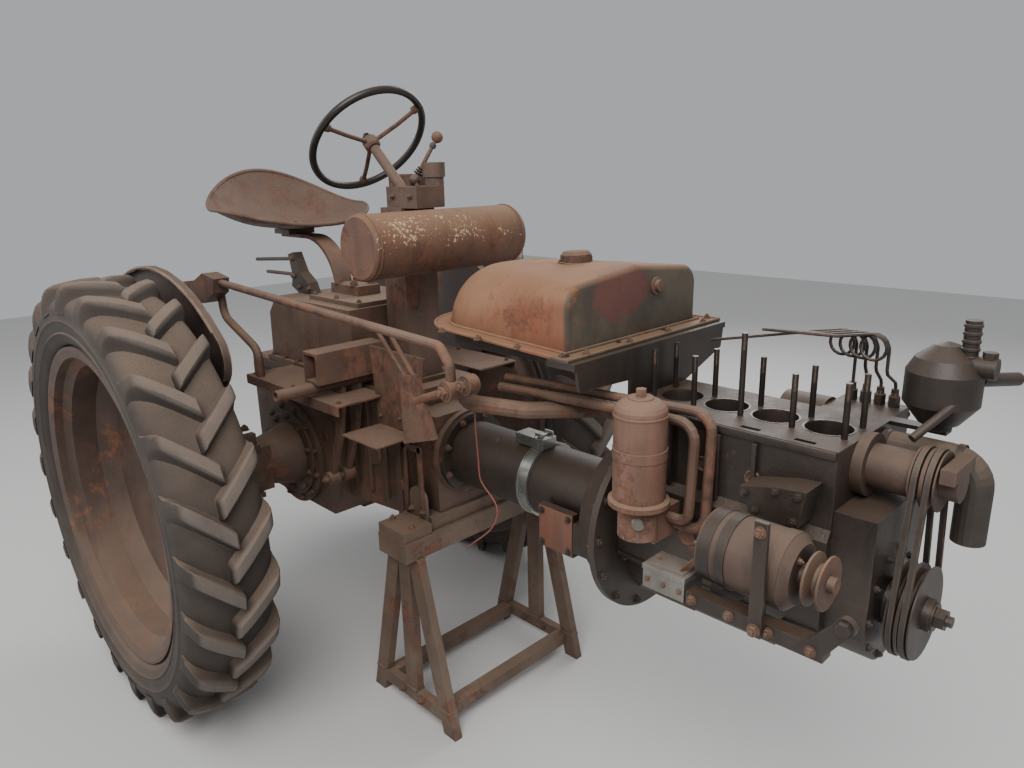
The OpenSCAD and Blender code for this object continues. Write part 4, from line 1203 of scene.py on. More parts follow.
@dataclass(frozen=True)
class SeatPan:
    """The pressed seat: a dished pan with a rolled rim and its bolts."""

    middle: Point = (-0.150, -0.015, 1.495)
    length: float = 0.465
    width: float = 0.570
    sheet: float = 0.003
    roll: float = 0.0065
    around: int = 96

    def height(self, u: float, v: float) -> float:
        """Returns the pan's height at a share of its half length and half width."""
        hollow = 1.0 - min(1.0, math.hypot(u, v)) ** 2.4
        return 0.140 * max(0.0, -u) ** 2 + 0.014 * abs(v) ** 3 - 0.066 * hollow - 0.044 * max(0.0, u) ** 2

    def loop(self, share: float, drop: float) -> list[Vector]:
        """Draws one ring of the pan.

        Args:
            share: The ring's share of the pan's outline.
            drop: How far it lies under the pan's top.

        Returns:
            The points of the ring.
        """
        points = []
        for i in range(self.around):
            angle = math.tau * i / self.around
            u, v = share * math.cos(angle), share * math.sin(angle)
            place = at(*self.middle)
            points.append(place + Vector((u * self.length / 2, v * self.width / 2, self.height(u, v) - drop)))
        return points

    def build(self) -> None:
        """Makes the pan with its rim rolled under, and bolts it to the spring."""
        shares = [0.001, 0.1, 0.2, 0.3, 0.4, 0.5, 0.6, 0.7, 0.78, 0.85, 0.91, 0.955, 0.985]
        form = Form()
        top = [self.loop(share, 0.0) for share in shares]
        under = [self.loop(share, self.sheet) for share in reversed(shares)]
        form.skin(top + under)
        form.tube(self.loop(0.978, self.roll - 0.001), self.roll, 12, closed=True)
        form.show("seat_pressing", Finishes.seat_red, "seat_paint", angle=50.0, replaces=("seat_pan",))
        bolts = Fastenings()
        for x, y in ((-0.030, -0.025), (0.030, -0.025), (-0.030, 0.025), (0.030, 0.025)):
            u, v = x / (self.length / 2), (y + 0.005) / (self.width / 2)
            bolts.add(at(*self.middle) + Vector((x, y + 0.005, self.height(u, v))), UP, 0.009)
        for y in (-0.045, 0.025):
            bolts.row(at(0.165, y, 1.260), at(0.255, y, 1.260), 2, UP, 0.012)
        bolts.make("seat_bolts", Finishes.rusty_steel, "rusty_steel")


@dataclass(frozen=True)
class SteeringWheel:
    """The wheel: a black moulded rim on three rusty spokes and a hub with its nut."""

    middle: Point = (0.329, 0.0, 1.701)
    ring_radius: float = 0.1815
    rim: float = 0.011
    tilt: float = 43.0
    spokes: tuple[float, ...] = (45.0, 165.0, 285.0)

    def build(self) -> None:
        """Makes the rim, and the spokes and hub, in place of the plain wheel."""
        lean = math.radians(self.tilt)
        axis = Vector((-math.cos(lean), 0.0, math.sin(lean)))
        across, level = Vector((math.sin(lean), 0.0, math.cos(lean))), LEFT
        centre = at(*self.middle)
        rim = Form()
        rim.tube(ring(centre, across, level, self.ring_radius, 128), self.rim, 20, closed=True)
        old = ("steering_wheel",)
        rim.show("steering_rim", Finishes.wheel_black, "wheel_plastic", Body.STEERING, replaces=old)
        hub = Form()
        profile = [
            (0.0, 0.012), (0.010, 0.012), (0.012, 0.009), (0.012, 0.004), (0.020, 0.002), (0.0235, -0.002),
            (0.024, -0.012), (0.024, -0.028), (0.019, -0.034), (0.009, -0.034), (0.009, -0.100),
            (0.0, -0.100),
        ]
        hub.turned(profile, centre, axis, 40)
        collar = [(0.010, 0.0), (0.0118, 0.004), (0.0118, 0.016), (0.007, 0.022)]
        for angle in self.spokes:
            a = math.radians(angle)
            way = math.cos(a) * across + math.sin(a) * level
            start, end = centre + way * 0.018 - axis * 0.013, centre + way * (self.ring_radius - 0.002)
            hub.tube([start, start.lerp(end, 0.5) - axis * 0.003, end], 0.0065, 14)
            hub.turned(collar, end - way * 0.024, way, 20)
        hub.show("steering_hub", Finishes.rusty_steel, "rusty_steel", Body.STEERING)
        nut = Fastenings()
        nut.add(centre + axis * 0.004, axis, 0.014)
        nut.make("steering_nut", Finishes.stud_steel, "stud_steel", Body.STEERING)


# Tank and reservoir


@dataclass(frozen=True)
class TankFinish(Finish):
    """The tank's paint, with the bare dark front and a dull red patch round its fitting."""

    front: float = 0.0
    patch: Point = ORIGIN

    def paint(self, graph: Graph, vector: object, colour: object) -> Wire:
        """Darkens the front face and puts the red patch on it.

        Args:
            graph: The material's graph.
            vector: The place on the piece.
            colour: The colour so far.

        Returns:
            The new colour.
        """
        x = graph.add("ShaderNodeSeparateXYZ", {0: vector}).outputs[0]
        blotch = graph.step(graph.noise(vector, 7.0, 5.0, 0.6), 0.35, 0.65)
        bare = graph.mix(blotch, rgb(50, 49, 43), rgb(68, 66, 56))
        colour = graph.mix(graph.step(x, self.front - 0.012, self.front - 0.004), colour, bare)
        away = graph.vector("SUBTRACT", vector, self.patch)[0]
        reach = graph.vector("LENGTH", graph.vector("MULTIPLY", away, (1.0, 0.62, 1.0))[0])["Value"]
        ragged = graph.plus(reach, graph.span(graph.noise(vector, 22.0, 5.0, 0.65), -0.045, 0.045))
        return graph.mix(graph.step(ragged, 0.068, 0.056), colour, rgb(84, 46, 45))


@dataclass(frozen=True)
class FuelTank:
    """The pressed tank over its flange, with the seam, rolled lip, front fitting and cap details."""

    back: float = 0.820
    base: float = 1.240
    length: float = 0.510
    height: float = 0.160
    round_back: float = 0.150
    back_side: float = 0.047
    body_half: float = 0.242
    flange: float = 0.046
    edge: float = 0.048
    shoulder: float = 0.092
    fitting_at: Point = (1.330, 0.072, 1.345)
    patch_at: Point = (1.330, -0.055, 1.350)
    cap_at: Point = (1.150, 0.0, 1.4185)
    cap_aim: Point = (0.039, 0.0, 0.999)

    def body(self) -> Mesh:
        """Draws a skin over the rounded back, the two shoulders and the flat front.

        Returns:
            The mesh of the tank's body.
        """
        spots: list[Vector] = []
        for side in (-1, 1):
            for lift in range(0, 91, 5):
                for turn in range(0, 360, 6):
                    climb, swing = math.radians(lift), math.radians(turn)
                    level = self.round_back * math.cos(climb)
                    spots.append(at(
                        self.back + self.round_back + level * math.cos(swing),
                        side * self.back_side + level * math.sin(swing),
                        self.base + (self.height - 0.014) * math.sin(climb),
                    ))
        front = self.back + self.length
        reach = self.body_half - self.edge
        roll = ((0.014, 0.0), (0.0095, 0.0012), (0.005, 0.0045), (0.0015, 0.009), (0.0, 0.014))
        for y, z in ((-reach, self.shoulder), (0.0, self.height - self.edge), (reach, self.shoulder)):
            for inset, shrink in roll:
                for turn in range(0, 181, 6):
                    a = math.radians(turn)
                    r = self.edge - shrink
                    spots.append(at(front - inset, y + r * math.cos(a), self.base + z + r * math.sin(a)))
        for side in (-1, 1):
            spots += [at(front - 0.014, side * self.body_half, self.base), at(front, side * 0.230, self.base)]
        work = bmesh.new()
        for spot in spots:
            work.verts.new(spot)
        hull = bmesh.ops.convex_hull(work, input=work.verts)
        inside = [v for v in hull["geom_interior"] if isinstance(v, bmesh.types.BMVert)]
        bmesh.ops.delete(work, geom=inside, context="VERTS")
        bmesh.ops.remove_doubles(work, verts=work.verts, dist=1e-5)
        bmesh.ops.dissolve_limit(
            work,
            angle_limit=math.radians(0.4),
            verts=work.verts,
            edges=work.edges,
            use_dissolve_boundaries=False,
        )
        bmesh.ops.triangulate(work, faces=[f for f in work.faces if len(f.verts) > 4])
        bmesh.ops.recalc_face_normals(work, faces=work.faces)
        made = bpy.data.meshes.new("tank body")
        work.to_mesh(made)
        work.free()
        return made

    def outline(self, grow: float, level: float) -> list[Vector]:
        """Draws the flange's outline in plan.

        Args:
            grow: How far it stands out from the body's foot.
            level: Its height.

        Returns:
            The points of the outline.
        """
        r = self.round_back + grow
        centre_x = self.back + self.round_back
        reach = self.length + grow - self.round_back
        half = self.body_half + grow
        dx, dy = reach, half - self.back_side
        start = math.atan2(dy, dx) + math.acos(r / math.hypot(dx, dy))
        arc = [start + (math.pi - start) * i / 20 for i in range(21)]
        right = [(centre_x + r * math.cos(a), -self.back_side - r * math.sin(a)) for a in arc]
        left = [(centre_x + r * math.cos(a), self.back_side + r * math.sin(a)) for a in reversed(arc)]
        sides = [(centre_x + reach, -half)] + right + left + [(centre_x + reach, half)]
        return [at(x, y, level) for x, y in sides]

    def pressing(self) -> None:
        """Joins the body and its rolled flange, in their own paint."""
        paint = TankFinish(
            "tank paint", rgb(126, 76, 52), rgb(142, 98, 70), rust=0.34, dust=0.6, grime_and_shade=0.35, grain=0.14,
            dents=0.5, wear=0.3, dust_colour=rgb(146, 112, 84), light_rust=rgb(132, 74, 48),
            front=self.back + self.length - MID_X, patch=tuple(at(*self.patch_at)),
        )
        flange = Form()
        flange.plate(self.outline(self.flange - 0.002, self.base - 0.0045), UP * 0.0045)
        flange.tube(self.outline(self.flange - 0.0045, self.base - 0.001), 0.0042, 10, closed=True)
        flange.tube(self.outline(0.004, self.base + 0.001), 0.0045, 10, closed=True)
        whole = joined("tank", (self.body(), flange.mesh("tank flange", 40.0)), 32.0)
        present(whole, "tank_pressing", paint, Body.CHASSIS, ("fuel_tank",))

    def fitting(self) -> None:
        """Screws the fitting into the front."""
        form = Form()
        flange = [(0.0, -0.004), (0.021, -0.004), (0.021, 0.003)]
        boss = [(0.014, 0.005), (0.013, 0.013), (0.0, 0.015)]
        form.turned(flange + boss, at(*self.fitting_at), AHEAD, 32)
        form.show("tank_fitting", Finishes.rusty_steel, "rusty_steel")

    def cap(self) -> None:
        """Adds the cap's raised middle, grips and bead."""
        spot, aim = at(*self.cap_at), Vector(self.cap_aim)
        form = Form()
        form.turned([(0.0, 0.001), (0.010, 0.001), (0.012, -0.003), (0.026, -0.004)], spot, aim, 32)
        for i in range(12):
            a = math.tau * i / 12
            grip = spot + Vector((math.cos(a), math.sin(a), 0.0)) * 0.0368
            form.tube([grip - UP * 0.022, grip - UP * 0.010], 0.0022, 8)
        bead = [(0.041, -0.030), (0.0435, -0.028), (0.0435, -0.024), (0.041, -0.023)]
        form.turned(bead, spot, aim, 40, closed=True)
        form.show("tank_cap_trim", Finishes.rusty_steel, "rusty_steel")

    def bolts(self) -> None:
        """Bolts the flange to the cradle."""
        bolts = Fastenings()
        for side in (-1, 1):
            bolts.row(at(0.955, side * 0.262, self.base), at(1.345, side * 0.272, self.base), 4, UP, 0.0075)
        bolts.row(at(1.3665, -0.220, self.base), at(1.3665, 0.220, self.base), 4, UP, 0.0075)
        bolts.make("tank_bolts", Finishes.rusty_steel, "rusty_steel")

    def build(self) -> None:
        """Makes the tank and its trim."""
        self.pressing()
        self.fitting()
        self.cap()
        self.bolts()


@dataclass(frozen=True)
class AirReservoir:
    """The cylinder's weld beads."""

    middle: Point = (0.650, 0.0, 1.420)
    radius: float = 0.086
    seams: tuple[float, float] = (-0.262, 0.243)

    def build(self) -> None:
        """Adds the seam round each end and the one along the side."""
        centre = at(*self.middle)
        welds = Form()
        for y in self.seams:
            welds.tube(ring(centre + LEFT * y, AHEAD, UP, self.radius - 0.0004, 96), 0.0032, 10, closed=True)
        way = Vector((-0.55, 0.0, 0.835)) * (self.radius - 0.0008)
        near, far = self.seams
        welds.tube([centre + way + LEFT * y for y in (near, -0.1, 0.1, far)], 0.0028, 10)
        welds.show("reservoir_welds", Finishes.reservoir_paint, "reservoir_paint", angle=60.0)


# Engine and running gear


@dataclass(frozen=True)
class LooseWire:
    """The limp wire that hangs from the elbow pipe to a bare end."""

    route: tuple[Point, ...] = (
        (1.040, -0.242, 1.052), (1.040, -0.242, 1.020), (1.043, -0.242, 0.978), (1.045, -0.241, 0.930),
        (1.047, -0.240, 0.881), (1.062, -0.238, 0.862), (1.083, -0.237, 0.846), (1.100, -0.236, 0.828),
        (1.104, -0.236, 0.806), (1.094, -0.238, 0.778), (1.078, -0.240, 0.754), (1.053, -0.243, 0.730),
        (1.025, -0.246, 0.706), (0.997, -0.250, 0.681),
    )
    thickness: float = 0.004
    corner: float = 0.010

    def path(self) -> list[Vector]:
        """Rounds the corners of the route.

        Returns:
            The points of the rounded path.
        """
        points = [at(*point) for point in self.route]
        rounded = [points[0]]
        for before, here, after in zip(points, points[1:], points[2:]):
            cut = min(self.corner, (here - before).length * 0.45, (after - here).length * 0.45)
            start = here + (before - here).normalized() * cut
            end = here + (after - here).normalized() * cut
            rounded += bend(start, here, end, 4)
        return rounded + [points[-1]]

    def build(self) -> None:
        path = self.path()
        form = Form()
        form.tube(path, self.thickness / 2, 12)
        old = ("loose_wire",)
        wire = form.show("hanging_wire", Finishes.wire_red, "wire_plastic", angle=60.0, replaces=old)


@dataclass(frozen=True)
class OpenEngine:
    """What stands on the open block: liner rims, flanges, plugs, the inspection plate, threads and bolts."""

    bores: tuple[float, ...] = (1.4585, 1.5675, 1.6765, 1.7855)
    bore_radius: float = 0.0445
    start: float = 1.390
    end: float = 1.854
    half: float = 0.118
    foot: float = 0.770
    stud_rows: tuple[float, ...] = (1.412, 1.513, 1.622, 1.731, 1.832)
    stud_side: float = 0.042
    stud_top: float = 1.228
    long_stud_top: float = 1.292
    plate_low: Point = (1.142, -0.1325, 0.700)
    plate_high: Point = (1.250, -0.126, 0.808)
    plate_margin: float = 0.011
    housing_circle: float = 0.206

    def liners(self) -> None:
        """Puts a machined rim round each bore, flush with the deck."""
        form = Form()
        r = self.bore_radius
        profile = [(r, -0.180), (r + 0.0042, -0.180), (r + 0.0042, 0.0007), (r + 0.0005, 0.0007)]
        for x in self.bores:
            form.turned(profile, at(x, 0.0, DECK_Z), UP, 64, closed=True)
        form.show("cylinder_liners", Finishes.stud_steel, "stud_steel", angle=30.0)

    def flanges(self) -> None:
        """Adds the sump flange, the deck's edge rib and the ribs on the block's sides."""
        form = Form()
        for side in (-1, 1):
            form.slab(
                at(self.start, side * 0.100, self.foot - 0.009), at(self.end, side * 0.138, self.foot + 0.001)
            )
            form.slab(
                at(self.start + 0.002, side * (self.half - 0.002), DECK_Z - 0.016),
                at(self.end - 0.002, side * (self.half + 0.005), DECK_Z - 0.001),
            )
            for x in (1.405, 1.513, 1.622, 1.700):
                form.slab(at(x - 0.005, side * 0.110, 0.965), at(x + 0.005, side * 0.128, DECK_Z - 0.020))
        form.show("block_flanges", Finishes.engine_black, "engine_iron", angle=30.0, bevel=0.0015)

    def plugs(self) -> None:
        """Presses two rows of core plugs into the near side."""
        form = Form()
        large = [
            (0.0, 0.0015), (0.013, 0.0015), (0.0165, 0.004), (0.019, 0.004), (0.020, 0.0), (0.020, -0.004),
        ]
        small = [
            (0.0, 0.001), (0.010, 0.001), (0.013, 0.0035), (0.0155, 0.0035), (0.0165, 0.0), (0.0165, -0.004),
        ]
        for x in self.bores[:3]:
            form.turned(large, at(x, -0.132, 0.868), -LEFT, 32)
            form.turned(small, at(x + 0.02, -self.half, 1.030), -LEFT, 32)
        form.show("core_plugs", Finishes.rusty_steel, "engine_iron")

    def plate(self) -> None:
        """Covers the opening in the side of the bell housing."""
        form = Form()
        form.slab(at(*self.plate_low), at(*self.plate_high))
        form.show("inspection_plate", Finishes.red_oxide, "engine_iron", angle=30.0, bevel=0.0008)

    def threads(self) -> None:
        """Cuts the threads on the tops of the head studs as thin rings."""
        form = Form()
        profile = [(0.0055, -0.034)]
        for turn in range(17):
            profile += [(0.0056, -0.034 + turn * 0.002), (0.0063, -0.033 + turn * 0.002)]
        profile += [(0.0056, -0.0004), (0.0055, -0.0004)]
        for index, x in enumerate(self.stud_rows):
            for side in (-1, 1):
                top = self.long_stud_top if index == 2 and side < 0 else self.stud_top
                form.turned(profile, at(x, side * self.stud_side, top), UP, 16, closed=True)
        form.show("stud_threads", Finishes.stud_steel, "stud_steel", angle=20.0)

    def bolts(self) -> None:
        """Puts the bolts on the block, its covers and its housing."""
        bolts = Fastenings()
        for side in (-1, 1):
            bolts.row(at(1.405, side * 0.129, 0.761), at(1.840, side * 0.129, 0.761), 9, -UP, 0.0065)
        for x, way in ((1.374, -AHEAD), (1.390, AHEAD)):
            bolts.circle(at(x, 0.0, CRANK_Z), way, self.housing_circle, 14, 0.0085, 10.0)
        bolts.circle(at(1.930, 0.0, CRANK_Z), AHEAD, 0.104, 10, 0.0065, 18.0)
        for x, z in ((1.716, 1.026), (1.738, 0.998), (1.812, 0.998), (1.818, 1.048), (1.776, 1.046)):
            bolts.add(at(x, -0.182, z), -LEFT, 0.0068)
        (near, face, low), (far, _, high), inset = self.plate_low, self.plate_high, self.plate_margin
        for z in (low + inset, high - inset):
            bolts.row(at(near + inset, face, z), at(far - inset, face, z), 2, -LEFT, 0.0068)
        bolts.row(at(1.404, 0.062, DECK_Z), at(1.404, -0.062, DECK_Z), 2, UP, 0.006)
        bolts.circle(at(1.2999, 0.0, CRANK_Z), -AHEAD, 0.140, 6, 0.008)
        bolts.circle(at(1.994, 0.0, 1.070), AHEAD, 0.020, 4, 0.0055, 45.0)
        bolts.add(at(2.008, 0.0, CRANK_Z), AHEAD, 0.021)
        bolts.row(at(1.345, -0.255, 1.2355), at(1.345, 0.255, 1.2355), 4, UP, 0.0065)
        bolts.row(at(1.3815, -0.200, 1.195), at(1.3815, 0.200, 1.195), 5, -AHEAD, 0.006)
        bolts.make("engine_bolts", Finishes.black_steel, "dark_steel")

    def build(self) -> None:
        """Dresses the block."""
        self.liners()
        self.flanges()
        self.plugs()
        self.plate()
        self.threads()
        self.bolts()


@dataclass(frozen=True)
class ChargingSet:
    """The dynamo's bands, end cap and wires, and the regulator box's lid."""

    back: Point = (1.716, -0.280, 0.962)
    nose: float = 1.880
    radius: float = 0.066
    through_bolts: tuple[float, ...] = (40.0, 160.0, 280.0)

    def end_cap(self) -> None:
        """Closes the back of the dynamo and wraps the band over its brushes."""
        origin, r = at(*self.back), self.radius
        form = Form()
        cap = [
            (0.012, -0.006), (r - 0.012, -0.006), (r + 0.0005, 0.002), (r + 0.0012, 0.026),
            (r - 0.002, 0.027), (0.012, 0.0),
        ]
        form.turned(cap, origin, AHEAD, 64, closed=True)
        form.band(origin + AHEAD * 0.046, AHEAD, (r, r + 0.002), (0.010, 0.0095), 64)
        form.show("dynamo_end_cap", Finishes.black_steel, "dark_steel")

    def bands(self) -> None:
        """Wraps the front band and sets the three through bolts."""
        origin, r = at(*self.back), self.radius
        form = Form()
        form.band(origin + AHEAD * 0.1385, AHEAD, (r - 0.001, r + 0.0016), (0.0115, 0.011), 64)
        for angle in self.through_bolts:
            a = math.radians(angle)
            head = origin + Vector((0.0, math.cos(a), math.sin(a))) * (r - 0.003)
            form.tube([head - AHEAD * 0.004, head + AHEAD * 0.001], 0.004, 12)
        form.show("dynamo_bands", Finishes.pump_brown, "filter_paint")

    def wires(self) -> None:
        """Leads three stiff wires from the box up to the dynamo."""
        form = Form()
        for i, (y, z) in enumerate(((-0.300, 0.944), (-0.312, 0.948), (-0.325, 0.952))):
            start = at(1.700 - 0.012 * i, y, 0.9075)
            middle = at(1.716 - 0.006 * i, y - 0.006, 0.932 + 0.006 * i)
            form.tube(bend(start, middle, at(1.7105, -0.290 - 0.010 * i, z), 10), 0.0017, 8)
        form.show("copper_wires", Finishes.copper, "rusty_steel", angle=60.0)

    def lid(self) -> None:
        """Puts the stepped lid on the regulator box."""
        form = Form()
        form.slab(at(1.6085, -0.3465, 0.898), at(1.6995, -0.2835, 0.9085))
        form.slab(at(1.618, -0.337, 0.9085), at(1.690, -0.293, 0.9105))
        form.show("regulator_lid", Finishes.box_alloy, "box_alloy", angle=30.0, bevel=0.0018)

    def bolts(self) -> None:
        """Screws the box, the dynamo and their bracket."""
        bolts = Fastenings()
        bolts.row(at(1.620, -0.345, 0.880), at(1.688, -0.345, 0.880), 3, -LEFT, 0.0042)
        bolts.row(at(1.625, -0.315, 0.9105), at(1.683, -0.315, 0.9105), 2, UP, 0.0045)
        _, y, z = self.back
        bolts.circle(at(self.nose, y, z), AHEAD, 0.036, 2, 0.0055, 30.0)
        bolts.add(at(1.842, -0.362, 1.055), -LEFT, 0.008)
        bolts.add(at(1.842, -0.362, 0.880), -LEFT, 0.009)
        bolts.row(at(1.715, -0.345, 0.8745), at(1.930, -0.345, 0.8745), 4, -LEFT, 0.0075)
        bolts.make("charging_set_bolts", Finishes.rusty_steel, "rusty_steel")

    def build(self) -> None:
        """Dresses the dynamo and the box under it."""
        self.end_cap()
        self.bands()
        self.wires()
        self.lid()
        self.bolts()


@dataclass(frozen=True)
class EnginePipes:
    """Nuts, clips and ribs on the engine's pipes, filter and cleaner."""

    filter_at: Point = (1.506, -0.220, 0.955)
    cleaner_neck: Point = (1.972, 0.130, 1.252)
    hose: Point = (1.862, 0.097, 1.080)

    def filter(self) -> None:
        """Adds the filter's clamp ring, seam, cap nut and drain plug."""
        spot = at(*self.filter_at)
        form = Form()
        form.band(spot + UP * 0.1105, UP, (0.0535, 0.0552), (0.0105, 0.010), 64)
        form.band(spot + UP * 0.1885, UP, (0.0535, 0.0550), (0.0025, 0.0015), 64)
        form.turned([(0.0, 0.010), (0.024, 0.010), (0.026, 0.008), (0.026, 0.0)], spot + UP * 0.2145, UP, 40)
        form.show("filter_trim", Finishes.filter_red, "filter_paint")
        plug = Form()
        profile = [(0.0, 0.004), (0.011, 0.003), (0.014, 0.0), (0.014, -0.008)]
        plug.turned(profile, spot + Vector((0.024, -0.035, -0.030)), Vector((0.45, -0.89, 0.0)), 28)
        plug.show("filter_plug", Finishes.box_alloy, "box_alloy")

    def ribs(self) -> None:
        """Adds the ribs of the cleaner's neck and the beads of the hose."""
        form = Form()
        neck, hose = at(*self.cleaner_neck), at(*self.hose)
        for i in range(6):
            form.band(neck + UP * 0.0145 * i, UP, (0.0135, 0.0158), (0.004, 0.002), 28)
        for along in (0.0, 0.128):
            form.band(hose + AHEAD * along, AHEAD, (0.0298, 0.0318), (0.006, 0.0055), 48)
        form.show("hose_ribs", Finishes.black_steel, "dark_steel")

    def nuts(self) -> None:
        """Adds the delivery nuts and side screws of the pump."""
        nuts = Fastenings()
        nuts.row(at(1.734, 0.228, 1.1395), at(1.821, 0.228, 1.1395), 4, UP, 0.0085)
        for z in (1.100, 1.020):
            nuts.row(at(1.715, 0.252, z), at(1.840, 0.252, z), 4, LEFT, 0.006)
        nuts.make("pump_nuts", Finishes.rusty_steel, "rusty_steel")

    def build(self) -> None:
        """Adds them to the pipes and canisters."""
        self.filter()
        self.ribs()
        self.nuts()


@dataclass(frozen=True)
class RunningGear:
    """The bolts and ribs of the gearbox, axle, tube, cover and steering column."""

    lever_foot: Point = (0.500, 0.034, 1.584)
    lever_way: Point = (0.030, 0.066, 0.118)

    def ribs(self) -> None:
        """Adds the cast ribs and pads on the gearbox."""
        form = Form()
        for side in (-1, 1):
            for x in (0.345, 0.430, 0.515):
                form.slab(at(x - 0.007, side * 0.132, 0.640), at(x + 0.007, side * 0.152, 0.960))
            form.slab(at(0.300, side * 0.132, 0.952), at(0.580, side * 0.154, 0.989))
            form.slab(at(-0.225, side * 0.166, 0.955), at(0.285, side * 0.182, 0.989))
        boss = [(0.0, 0.010), (0.036, 0.010), (0.042, 0.004), (0.046, 0.0)]
        form.turned(boss, at(0.440, -0.140, 0.770), -LEFT, 40)
        form.show("gearbox_ribs", Finishes.cast_brown, "gearbox_iron", angle=30.0, bevel=0.003)

    def post(self) -> None:
        """Adds the slotted post beside the gearbox, and the lug that holds it."""
        form = Form()
        for x, wide, low, high in (
            (0.622, 0.018, 0.640, 0.856), (0.694, 0.018, 0.640, 0.856), (0.622, 0.090, 0.838, 0.856)
        ):
            form.slab(at(x, -0.165, low), at(x + wide, -0.157, high))
        form.slab(at(0.6035, -0.163, 0.700), at(0.622, -0.157, 0.730))
        form.show("side_post", Finishes.rusty_steel, "rusty_steel", angle=30.0, bevel=0.0015)

    def clamp(self) -> None:
        """Adds the tension screw of the tube's clamp band."""
        form = Form()
        for y in (-0.030, 0.008):
            form.slab(at(1.035, y - 0.002, 0.905), at(1.063, y + 0.002, 0.944))
        form.tube([at(1.049, -0.046, 0.934), at(1.049, 0.022, 0.934)], 0.0045, 12)
        for x in (1.0330, 1.0650):
            form.band(at(x, 0.0, CRANK_Z), AHEAD, (0.101, 0.1028), (0.0015, 0.0015), 64)
        form.show("clamp_screw", Finishes.clamp_bright, "clamp_steel", angle=30.0)

    def axle_bolts(self, bolts: Fastenings) -> None:
        """Bolts the axle housings, the cover, the neck and the foot plates on both sides.

        Args:
            bolts: The set that the bolts join.
        """
        for side in (-1, 1):
            out = LEFT * side
            bolts.circle(at(0.0, side * 0.184, AXLE_Z), out, 0.166, 12, 0.009, 15.0)
            bolts.circle(at(0.0, side * 0.192, AXLE_Z), out, 0.130, 10, 0.009)
            bolts.circle(at(0.0, side * 0.5245, AXLE_Z), out, 0.0925, 8, 0.0085, 22.5)
            bolts.row(at(-0.080, side * 0.176, 1.006), at(0.410, side * 0.176, 1.006), 7, UP, 0.0062)
            bolts.row(at(0.604, side * 0.150, 0.620), at(0.604, side * 0.150, 0.950), 4, AHEAD, 0.0085)
            bolts.row(at(0.510, side * 0.065, 1.004), at(0.545, side * 0.065, 1.004), 2, UP, 0.007)
            for x in (-0.063, 0.063):
                bolts.add(at(x, side * 0.375, 0.814), UP, 0.012)
                bolts.row(at(x, side * 0.360, 0.578), at(x, side * 0.395, 0.578), 2, -UP, 0.012)
            for x in (0.085, 0.320, 0.565):
                bolts.add(at(x, side * 0.325, 0.995), UP, 0.0065)
        bolts.circle(at(-0.274, 0.0, AXLE_Z), -AHEAD, 0.112, 8, 0.0085)
        bolts.circle(at(0.758, 0.0, CRANK_Z), AHEAD, 0.108, 8, 0.0085, 22.5)
        bolts.row(at(0.135, -0.115, 1.2295), at(0.385, -0.115, 1.2295), 3, UP, 0.007)
        bolts.row(at(0.300, 0.115, 1.2295), at(0.385, 0.115, 1.2295), 2, UP, 0.007)

    def column_bolts(self, bolts: Fastenings) -> None:
        """Bolts the steering box and its top.

        Args:
            bolts: The set that the bolts join.
        """
        for x in (0.500, 0.580):
            for side in (-1, 1):
                bolts.add(at(x, side * 0.050, 1.540), LEFT * side, 0.0075)
        for x in (0.482, 0.598):
            bolts.row(at(x, -0.036, 1.567), at(x, 0.036, 1.567), 2, UP, 0.0068)

    def rod_bolts(self, bolts: Fastenings) -> None:
        """Bolts the brake rod, the channel and the levers on the near side.

        Args:
            bolts: The set that the bolts join.
        """
        bolts.row(at(0.585, -0.200, 0.935), at(0.770, -0.200, 0.955), 3, -LEFT, 0.0055)
        bolts.row(at(-0.020, -0.084, 1.235), at(0.045, -0.084, 1.235), 2, -LEFT, 0.0075)
        bolts.row(at(-0.050, -0.084, 1.271), at(-0.050, -0.084, 1.329), 2, -LEFT, 0.008)
        bolts.add(at(1.086, -0.3702, 1.140), -LEFT, 0.013)
        bolts.add(at(1.136, -0.3562, 1.160), -LEFT, 0.012)
        bolts.row(at(0.369, -0.268, 0.696), at(0.369, -0.213, 0.696), 2, -LEFT, 0.011)

    def gaiter(self) -> None:
        """Adds the collar under the gear lever's knob and the gaiter at its foot."""
        foot, way = at(*self.lever_foot), Vector(self.lever_way).normalized()
        form = Form()
        collar = [(0.0062, 0.104), (0.010, 0.106), (0.010, 0.116), (0.0062, 0.118)]
        form.turned(collar, foot, way, 24, closed=True)
        for i in range(3):
            middle = foot + way * (0.0205 + 0.008 * i)
            form.band(middle, way, (0.0065, 0.0150 - 0.002 * i), (0.0035, 0.0015), 28)
        form.show("lever_collar", Finishes.hose_rubber, "hose_rubber")

    def build(self) -> None:
        """Dresses the running gear."""
        self.ribs()
        self.post()
        self.clamp()
        bolts = Fastenings()
        self.axle_bolts(bolts)
        self.column_bolts(bolts)
        self.rod_bolts(bolts)
        bolts.make("running_gear_bolts", Finishes.rusty_steel, "rusty_steel")
        self.gaiter()


